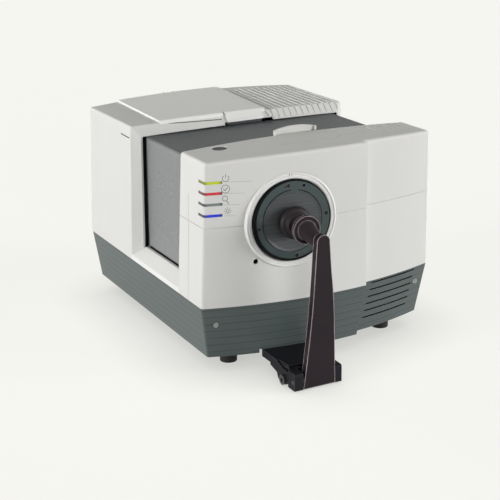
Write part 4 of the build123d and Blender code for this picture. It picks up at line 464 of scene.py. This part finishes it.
def finished(piece, name, body, finish):
    """Name a new piece, put its place in its mesh, give it its finish and let it ride on its body."""
    clear_selection()
    piece.select_set(True)
    bpy.context.view_layer.objects.active = piece
    bpy.ops.object.transform_apply(location=True, rotation=True, scale=True)
    bpy.ops.object.mode_set(mode="EDIT")
    bpy.ops.mesh.select_all(action="SELECT")
    bpy.ops.mesh.normals_make_consistent(inside=False)
    bpy.ops.object.mode_set(mode="OBJECT")
    bpy.ops.object.shade_smooth_by_angle(angle=smooth_angle)
    piece.name = name
    piece.data.name = name
    piece.data.materials.clear()
    piece.data.materials.append(finish)
    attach(piece, body)


def apply_modifier(piece, kind, **values):
    """Add a modifier with its values and apply it."""
    clear_selection()
    piece.select_set(True)
    bpy.context.view_layer.objects.active = piece
    modifier = piece.modifiers.new(kind.lower(), kind)
    for label, value in values.items():
        setattr(modifier, label, value)
    bpy.ops.object.modifier_apply(modifier=modifier.name)


def joined(pieces):
    """One piece from one or more, with their places put in the mesh."""
    clear_selection()
    for piece in pieces:
        piece.select_set(True)
    bpy.context.view_layer.objects.active = pieces[0]
    bpy.ops.object.transform_apply(location=True, rotation=True, scale=True)
    if len(pieces) > 1:
        bpy.ops.object.join()
    return pieces[0]


def open_ring(outer, inner, sides, shift=(0, 0, 0)):
    """Flat ring: a circle extruded inwards, whose inner edge may be shifted aside."""
    clear_selection()
    bpy.ops.mesh.primitive_circle_add(vertices=sides, radius=outer, fill_type="NOTHING")
    piece = bpy.context.object
    bpy.ops.object.mode_set(mode="EDIT")
    bpy.ops.mesh.select_all(action="SELECT")
    bpy.ops.mesh.extrude_region_move()
    bpy.ops.transform.resize(value=(inner / outer, inner / outer, 1), center_override=(0, 0, 0))
    bpy.ops.transform.translate(value=shift)
    bpy.ops.object.mode_set(mode="OBJECT")
    return piece


def ring_stroke(centre, radius, width, start=0.0, end=360.0):
    """Flat ring or arc in the drawing plane, with the part outside its two angles deleted."""
    piece = open_ring(radius, radius - width, stroke_sides)
    bpy.ops.object.mode_set(mode="EDIT")
    bpy.ops.mesh.select_mode(type="FACE")
    bpy.ops.mesh.select_all(action="DESELECT")
    shape = bmesh.from_edit_mesh(piece.data)
    unwanted = 0
    for face in shape.faces:
        middle = face.calc_center_median()
        turn = degrees(atan2(middle.y, middle.x)) % 360
        if not start <= turn <= end:
            face.select_set(True)
            unwanted += 1
    bmesh.update_edit_mesh(piece.data)
    if unwanted:
        bpy.ops.mesh.delete(type="FACE")
    bpy.ops.mesh.select_mode(type="VERT")
    bpy.ops.object.mode_set(mode="OBJECT")
    piece.location = (*centre, 0)
    return piece


def bar_stroke(start, end, width, cuts=3):
    """Flat bar in the drawing plane between two points, with cut corners, divided to follow a curved face."""
    run = Vector(end) - Vector(start)
    clear_selection()
    bpy.ops.mesh.primitive_plane_add(size=1)
    piece = bpy.context.object
    piece.scale = (run.length, width, 1)
    bpy.ops.object.transform_apply(location=False, rotation=False, scale=True)
    bpy.ops.object.mode_set(mode="EDIT")
    bpy.ops.mesh.select_all(action="SELECT")
    bpy.ops.mesh.bevel(offset=width * 0.3, segments=2, affect="VERTICES")
    bpy.ops.mesh.select_all(action="SELECT")
    for cut in range(1, cuts + 1):
        across = run.length * (cut / (cuts + 1) - 0.5)
        bpy.ops.mesh.select_all(action="SELECT")
        bpy.ops.mesh.bisect(plane_co=(across, 0, 0), plane_no=(1, 0, 0))
    bpy.ops.object.mode_set(mode="OBJECT")
    piece.rotation_euler = (0, 0, atan2(run.y, run.x))
    piece.location = (*((Vector(start) + Vector(end)) / 2), 0)
    return piece


def lay_on(strokes, carrier, side, proud=0.00008, depth=0.0005):
    """Join strokes and lay them on a face of a CAD node, seen from the front, the top, the left or the right.

    The piece stands proud of the face by that much, and its whole depth reaches into the node.
    """
    piece = joined(strokes)
    target = frame["nodes"][carrier]
    for vertex in piece.data.vertices:
        u, v = vertex.co.x, vertex.co.y
        start, way = {"front": (Vector((u, -outside, v)), Vector((0, 1, 0))),
                      "top": (Vector((u, v, outside)), Vector((0, 0, -1))),
                      "left": (Vector((-outside, u, v)), Vector((1, 0, 0))),
                      "right": (Vector((outside, u, v)), Vector((-1, 0, 0)))}[side]
        found, place, normal, _ = target.ray_cast(start, way)
        if not found:
            raise RuntimeError(f"{carrier} isn't under {u:.4f}, {v:.4f} from the {side}")
        vertex.co = place - normal * (depth / 2 - proud)
    apply_modifier(piece, "SOLIDIFY", thickness=depth, offset=0)
    return piece


def shifted(points, centre):
    """Drawing points of a mark moved to its centre."""
    return [(centre[0] + u, centre[1] + v) for u, v in points]


def make_marks():
    """Printed marks and moulded lines beside the light pipes."""
    line = 0.0009
    power = (-0.1641, 0.3004)
    finished(lay_on([ring_stroke(power, 0.0050, line, 0, 58), ring_stroke(power, 0.0050, line, 122, 360),
                     bar_stroke(*shifted([(0, 0.0008), (0, 0.0062)], power), line)],
                    "front_cover_upper", "front"), "mark_power", "chassis", print_grey)
    ready = (-0.1643, 0.2851)
    finished(lay_on([ring_stroke(ready, 0.0062, line),
                     bar_stroke(*shifted([(-0.0030, 0.0004), (-0.0006, -0.0026)], ready), line * 1.2),
                     bar_stroke(*shifted([(-0.0007, -0.0025), (0.0030, 0.0026)], ready), line * 1.2)],
                    "front_cover_upper", "front"), "mark_ready", "chassis", print_grey)
    looking = (-0.1645, 0.2691)
    finished(lay_on([ring_stroke((looking[0] - 0.0006, looking[1] + 0.0022), 0.0041, line),
                     bar_stroke(*shifted([(0.0016, -0.0012), (0.0044, -0.0062)], looking), line * 1.3)],
                    "front_cover_upper", "front"), "mark_measure", "chassis", print_grey)
    sun = (-0.1615, 0.2526)
    rays = [bar_stroke(*shifted([(0.0034 * cos(turn), 0.0034 * sin(turn)),
                                 (0.0054 * cos(turn), 0.0054 * sin(turn))], sun), line)
            for turn in (step * pi / 4 for step in range(8))]
    finished(lay_on([ring_stroke(sun, 0.0024, line)] + rays, "front_cover_upper", "front"), "mark_daylight",
             "chassis", print_grey)
    for name, left, right in (("pipe_line_yellow", (-0.1689, 0.2954), (-0.1253, 0.2933)),
                              ("pipe_line_red", (-0.1689, 0.2790), (-0.1368, 0.2768)),
                              ("pipe_line_clear", (-0.1689, 0.2622), (-0.1440, 0.2607)),
                              ("pipe_line_blue", (-0.1689, 0.2460), (-0.1512, 0.2448))):
        finished(lay_on([bar_stroke(left, right, 0.0006, 8)], "front_cover_upper", "front"), name, "chassis",
                 line_and_shade_grey)


def make_lines():
    """Painted shade along the crease on the front cover's top, in the slit at the left and under the lid's
    lip; the port's index and its painted shade.
    """
    finished(lay_on([bar_stroke((-0.0600, -0.1480), (0.0341, -0.1518), 0.0007, 8),
                     bar_stroke((0.0341, -0.1518), (0.0478, -0.1425), 0.0007, 3)],
                    "front_cover_upper", "top"), "cover_crease_shade", "chassis", line_and_shade_grey)
    finished(lay_on([bar_stroke((0.1015, 0.3055), (0.1365, 0.3062), 0.0017, 4)], "rear_housing", "left"),
             "side_slit_shade", "chassis", shade_black)
    finished(lay_on([bar_stroke((-0.1285, 0.3232), (-0.1082, 0.3220), 0.0011, 3),
                     bar_stroke((-0.1082, 0.3220), (-0.0350, 0.3196), 0.0011, 10)],
                    "rear_housing", "front"), "lid_lip_shadow", "chassis", line_shade_black)
    finished(lay_on([bar_stroke((-0.0691, 0.2934), (-0.0691, 0.2990), 0.0024, 2)], "port_bezel", "front",
                    0.0010, 0.0016), "index_tick", "chassis", tick_and_highlight_white)
    finished(lay_on([bar_stroke((-0.0710, 0.2936), (-0.0710, 0.2984), 0.0005, 2),
                     bar_stroke((-0.0672, 0.2936), (-0.0672, 0.2984), 0.0005, 2)], "port_bezel", "front"),
             "index_shadow", "chassis", line_shade_black)


rib_first = 0.0566
rib_count = 12
roof_edge = 0.19209
rib_margin = 0.0116
rib_pitch = (roof_edge - rib_margin - rib_first) / (rib_count - 1)
rib_offset = 0.0022
rib_width = 0.0024
rib_front = 0.0990
rib_rear = 0.2560


def make_rib_edges():
    """Raised crests beside the grooves of the rear housing's roof, one strip to each groove, whiter than the
    roof as a painted highlight.
    """
    crests = [bar_stroke((place + rib_offset, rib_front), (place + rib_offset, rib_rear), rib_width, 10)
              for place in (rib_first + rib_pitch * count for count in range(rib_count))]
    ridges = lay_on(crests, "rear_housing", "top", 0.0010, 0.0016)
    apply_modifier(ridges, "BEVEL", width=0.0007, segments=2, angle_limit=sharp_angle)
    finished(ridges, "roof_rib_crest_highlights", "chassis", tick_and_highlight_white)


slot_rows = 6
slot_middle = 0.1250
slot_step = 0.0022
slot_run = 0.0918
slot_height = 0.0026
slot_inset = 0.0010


def make_grille_shade_strips():
    """Black strips set just inside the grille's slots in the base: painted shade in the slots."""
    tub = frame["nodes"]["base_tub"]
    strips = []
    for row in range(slot_rows):
        height = groove_first - groove_pitch * row
        middle = slot_middle - slot_step * row
        strips.append(bar_stroke((middle - slot_run / 2, height), (middle + slot_run / 2, height),
                                 slot_height, 8))
    piece = joined(strips)
    for vertex in piece.data.vertices:
        u, v = vertex.co.x, vertex.co.y
        row = round((groove_first - v) / groove_pitch)
        level = groove_first - groove_pitch * row
        # the wall is met half a pitch and one and a half pitches below the slot, and carried up to it
        depths = []
        for below in (0.5, 1.5):
            start = Vector((u, -outside, level - groove_pitch * below))
            found, place, _, _ = tub.ray_cast(start, Vector((0, 1, 0)))
            if not found:
                raise RuntimeError(f"no wall by the grille at {u:.4f}")
            depths.append(place.y)
        vertex.co = (u, depths[0] + (depths[0] - depths[1]) * 0.5 + slot_inset, v)
    apply_modifier(piece, "SOLIDIFY", thickness=0.0008, offset=0)
    finished(piece, "grille_shade_strips", "chassis", shade_black)


flap_left = -0.0275
flap_right = 0.0352
flap_low = 0.3091
flap_high = 0.3168
flap_probe = 0.3172             # height at which the flap's front face is found


def make_flap_shade_strip():
    """Dark strip in front of the lower part of the lid's flap, down to just above the cover: painted shade
    under the lid's edge.
    """
    clear_selection()
    bpy.ops.mesh.primitive_grid_add(x_subdivisions=8, y_subdivisions=2, size=1)
    shade_strip = bpy.context.object
    flap = frame["nodes"]["rear_lid"]
    for vertex in shade_strip.data.vertices:
        across = flap_left + (flap_right - flap_left) * (vertex.co.x + 0.5)
        height = flap_low + (flap_high - flap_low) * (vertex.co.y + 0.5)
        found, place, _, _ = flap.ray_cast(Vector((across, 0.0, flap_probe)), Vector((0, 1, 0)))
        if not found:
            raise RuntimeError(f"no flap at {across:.4f}")
        vertex.co = (across, place.y + 0.0012, height)
    apply_modifier(shade_strip, "SOLIDIFY", thickness=0.0012, offset=0)
    apply_modifier(shade_strip, "BEVEL", width=0.0003, segments=2, angle_limit=sharp_angle)
    finished(shade_strip, "flap_shade_strip", "lid", flap_shade_grey)


shade_low = 0.1325
shade_high = 0.3060
shade_place = 0.0885
shade_depth = 0.004
shade_clearance = 0.0004
gap_middle = 0.1772
gap_slope = 0.0190


def make_cover_gap_shade():
    """Black strips between the rear housing's lip and the cover's sides, clear of the cover: painted shade in
    that gap.
    """
    cover, housing = frame["nodes"]["compartment_cover"], frame["nodes"]["rear_housing"]
    strips = []
    for side in (-1, 1):
        clear_selection()
        bpy.ops.mesh.primitive_grid_add(x_subdivisions=1, y_subdivisions=10, size=1)
        strip = bpy.context.object
        for vertex in strip.data.vertices:
            across, along = vertex.co.x + 0.5, vertex.co.y + 0.5
            height = shade_low + (shade_high - shade_low) * along
            middle = Vector((side * (gap_middle - gap_slope * (height - shade_low)), shade_place, height))
            found_lip, lip, _, _ = housing.ray_cast(middle, Vector((side, 0, 0)))
            found_cover, wall, _, _ = cover.ray_cast(middle, Vector((-side, 0, 0)))
            if not (found_lip and found_cover):
                raise RuntimeError(f"no gap for the seal at height {height:.4f}")
            near, far = lip.x + side * 0.0003, wall.x + side * shade_clearance
            vertex.co = (near + (far - near) * across, shade_place, height)
        apply_modifier(strip, "SOLIDIFY", thickness=shade_depth, offset=0)
        apply_modifier(strip, "BEVEL", width=0.0008, segments=2, angle_limit=sharp_angle)
        strips.append(strip)
    finished(joined(strips), "cover_gap_shade", "chassis", shade_black)


def make_foot_shades():
    """Black strips along the foot of the cover's sides, level with the sills' lips: painted shade where the
    cover's foot goes down into the gap.
    """
    for name, side in (("foot_shade_left", "left"), ("foot_shade_right", "right")):
        finished(lay_on([bar_stroke((-0.0835, 0.1290), (0.0800, 0.1290), 0.0040, 12)], "compartment_cover",
                        side), name, "cover", shade_black)


port_centre = Vector((-0.067, -0.1875, 0.229))
port_axis = Vector((-0.0958, -0.9954, 0)).normalized()
gap_outer = 0.0607
gap_inner = 0.0598
# dark crescent where the ring's flank meets the bezel: painted shadow
crescent_outer = 0.0599
crescent_inner = 0.0576
crescent_shift = (0.0018, 0.0012, 0)
crescent_depth = 0.0034
ring_ahead = 0.01256
plate_line_out = 0.0006
plate_line_width = 0.0011


def make_port_gap():
    """Black ring deep in the gap between the port's ring and its bezel: painted shade in the gap."""
    gap_shade_ring = open_ring(gap_outer, gap_inner, port_sides)
    apply_modifier(gap_shade_ring, "SOLIDIFY", thickness=0.001, offset=0)
    gap_shade_ring.rotation_euler = port_axis.to_track_quat("Z", "Y").to_euler()
    gap_shade_ring.location = port_centre + port_axis * 0.0015
    finished(gap_shade_ring, "port_gap_shade", "chassis", shade_black)


def port_disc(piece, name, ahead, depth, finish):
    """Give a flat drawing its depth and set it square to the port's axis, that far ahead of the seat."""
    apply_modifier(piece, "SOLIDIFY", thickness=depth, offset=0)
    side = Vector((0, 0, 1)).cross(port_axis)
    turn = Matrix((side, Vector((0, 0, 1)), port_axis)).transposed().to_4x4()
    piece.data.transform(Matrix.Translation(port_centre + port_axis * ahead) @ turn)
    finished(piece, name, "chassis", finish)


def make_port_shades():
    """Painted shade: a dark crescent on the ring's left flank and a dark line round the plate."""
    crescent = open_ring(crescent_outer, crescent_inner, port_sides, crescent_shift)
    port_disc(crescent, "ring_crescent_shadow", ring_ahead + 0.0002 - crescent_depth / 2, crescent_depth, shade_black)
    low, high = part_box("port_plate")
    plate_radius = (high[2] - low[2]) / 2
    arcs = [ring_stroke((0, 0), plate_radius + plate_line_out, plate_line_width, start, end)
            for start, end in ((0, 76), (104, 360))]
    port_disc(joined(arcs), "plate_line", ring_ahead, 0.0004, shade_black)


make_marks()
make_lines()
make_cover_gap_shade()
make_foot_shades()
make_port_gap()
make_port_shades()
make_rib_edges()
make_grille_shade_strips()
make_flap_shade_strip()


# ---------------------------------------------------------------- floor, world, lights and camera
camera_place = Vector((-0.8991, -1.6805, 0.7430))
view_azimuth = radians(27.222)
view_elevation = radians(18.169)
view_roll = radians(-0.933)
lens_length = 89.18
ambient_level = 0.11
floor_glow = 0.80
# the floor's glow is darkened this near the object, by this much: a painted shadow
shadow_reach = 0.11
shadow_depth = 0.38
floor_tone = (0.26, 0.26, 0.257, 1)
glow_tint = (1.0, 1.0, 0.955, 1)
ambient_tint = (1.0, 1.0, 0.99, 1)
backdrop_tone = srgb(245, 246, 240)


def seen_or_reflected(nodes, links):
    """Mask of the rays that show the backdrop: the camera's, and those of gloss and glass."""
    path = nodes.new("ShaderNodeLightPath")
    first = nodes.new("ShaderNodeMath")
    first.operation = "MAXIMUM"
    links.new(path.outputs["Is Camera Ray"], first.inputs[0])
    links.new(path.outputs["Is Glossy Ray"], first.inputs[1])
    both = nodes.new("ShaderNodeMath")
    both.operation = "MAXIMUM"
    links.new(first.outputs[0], both.inputs[0])
    links.new(path.outputs["Is Transmission Ray"], both.inputs[1])
    return both.outputs[0]


def make_floor():
    """Pale floor that shows near white to the camera and takes the lamps' shadows; near the object its glow
    is darkened as a painted shadow.
    """
    clear_selection()
    bpy.ops.mesh.primitive_plane_add(size=60, location=(0, 0, -0.0005))
    floor = bpy.context.object
    floor.name = "studio_floor"
    mat = bpy.data.materials.new("studio_floor")
    mat.use_nodes = True
    nodes, links = mat.node_tree.nodes, mat.node_tree.links
    shader = nodes["Principled BSDF"]
    shader.inputs["Base Color"].default_value = floor_tone
    shader.inputs["Roughness"].default_value = 1.0
    shader.inputs["Specular IOR Level"].default_value = 0.0
    glow = nodes.new("ShaderNodeEmission")
    glow.inputs["Color"].default_value = glow_tint
    painted_shadow_mask = nodes.new("ShaderNodeAmbientOcclusion")
    painted_shadow_mask.samples = 12
    painted_shadow_mask.inputs["Distance"].default_value = shadow_reach
    shown = nodes.new("ShaderNodeMath")
    shown.operation = "MULTIPLY_ADD"
    shown.inputs[1].default_value = floor_glow * shadow_depth
    shown.inputs[2].default_value = floor_glow * (1 - shadow_depth)
    links.new(painted_shadow_mask.outputs["AO"], shown.inputs[0])
    level = nodes.new("ShaderNodeMath")
    level.operation = "MULTIPLY"
    links.new(shown.outputs[0], level.inputs[1])
    both = nodes.new("ShaderNodeAddShader")
    links.new(seen_or_reflected(nodes, links), level.inputs[0])
    links.new(level.outputs[0], glow.inputs["Strength"])
    links.new(shader.outputs[0], both.inputs[0])
    links.new(glow.outputs[0], both.inputs[1])
    links.new(both.outputs[0], nodes["Material Output"].inputs["Surface"])
    floor.data.materials.append(mat)


def make_world():
    """Even studio light, with a pale backdrop for the camera and for reflections."""
    world = bpy.data.worlds.new("studio")
    bpy.context.scene.world = world
    world.use_nodes = True
    nodes, links = world.node_tree.nodes, world.node_tree.links
    nodes.clear()
    ambient = nodes.new("ShaderNodeBackground")
    ambient.inputs["Color"].default_value = ambient_tint
    ambient.inputs["Strength"].default_value = ambient_level
    backdrop = nodes.new("ShaderNodeBackground")
    backdrop.inputs["Color"].default_value = backdrop_tone
    mix = nodes.new("ShaderNodeMixShader")
    out = nodes.new("ShaderNodeOutputWorld")
    links.new(seen_or_reflected(nodes, links), mix.inputs[0])
    links.new(ambient.outputs[0], mix.inputs[1])
    links.new(backdrop.outputs[0], mix.inputs[2])
    links.new(mix.outputs[0], out.inputs[0])


def broad_light(name, azimuth, elevation, strength, spread):
    """Distant soft light from an azimuth (0 is the front, 90 the right) and an elevation."""
    light = bpy.data.lights.new(name, "SUN")
    light.energy = strength
    light.angle = radians(spread)
    lamp = bpy.data.objects.new(name, light)
    bpy.context.scene.collection.objects.link(lamp)
    around, above = radians(azimuth), radians(elevation)
    towards = Vector((sin(around) * cos(above), -cos(around) * cos(above), sin(above)))
    lamp.rotation_euler = towards.to_track_quat("Z", "Y").to_euler()


def make_camera():
    """Camera at the view that the whole scene is set out for."""
    data = bpy.data.cameras.new("view")
    data.lens = lens_length
    data.sensor_width = 36.0
    data.clip_end = 100
    camera = bpy.data.objects.new("view", data)
    bpy.context.scene.collection.objects.link(camera)
    back = Vector((-sin(view_azimuth) * cos(view_elevation), -cos(view_azimuth) * cos(view_elevation),
                   sin(view_elevation)))
    right = Vector((cos(view_azimuth), -sin(view_azimuth), 0))
    up = back.cross(right)
    right_rolled = right * cos(view_roll) + up * sin(view_roll)
    up_rolled = up * cos(view_roll) - right * sin(view_roll)
    turn = Matrix((right_rolled, up_rolled, back)).transposed().to_4x4()
    camera.matrix_world = Matrix.Translation(camera_place) @ turn
    bpy.context.scene.camera = camera


make_floor()
make_world()
broad_light("left_wall", azimuth=-92, elevation=2, strength=4.2, spread=36)
broad_light("right_wall", azimuth=52, elevation=2, strength=4.5, spread=40)
broad_light("front_wall", azimuth=-10, elevation=1, strength=1.05, spread=36)
broad_light("rear_wall", azimuth=-152, elevation=12, strength=0.9, spread=40)
make_camera()
bpy.context.scene.view_settings.view_transform = "Standard"
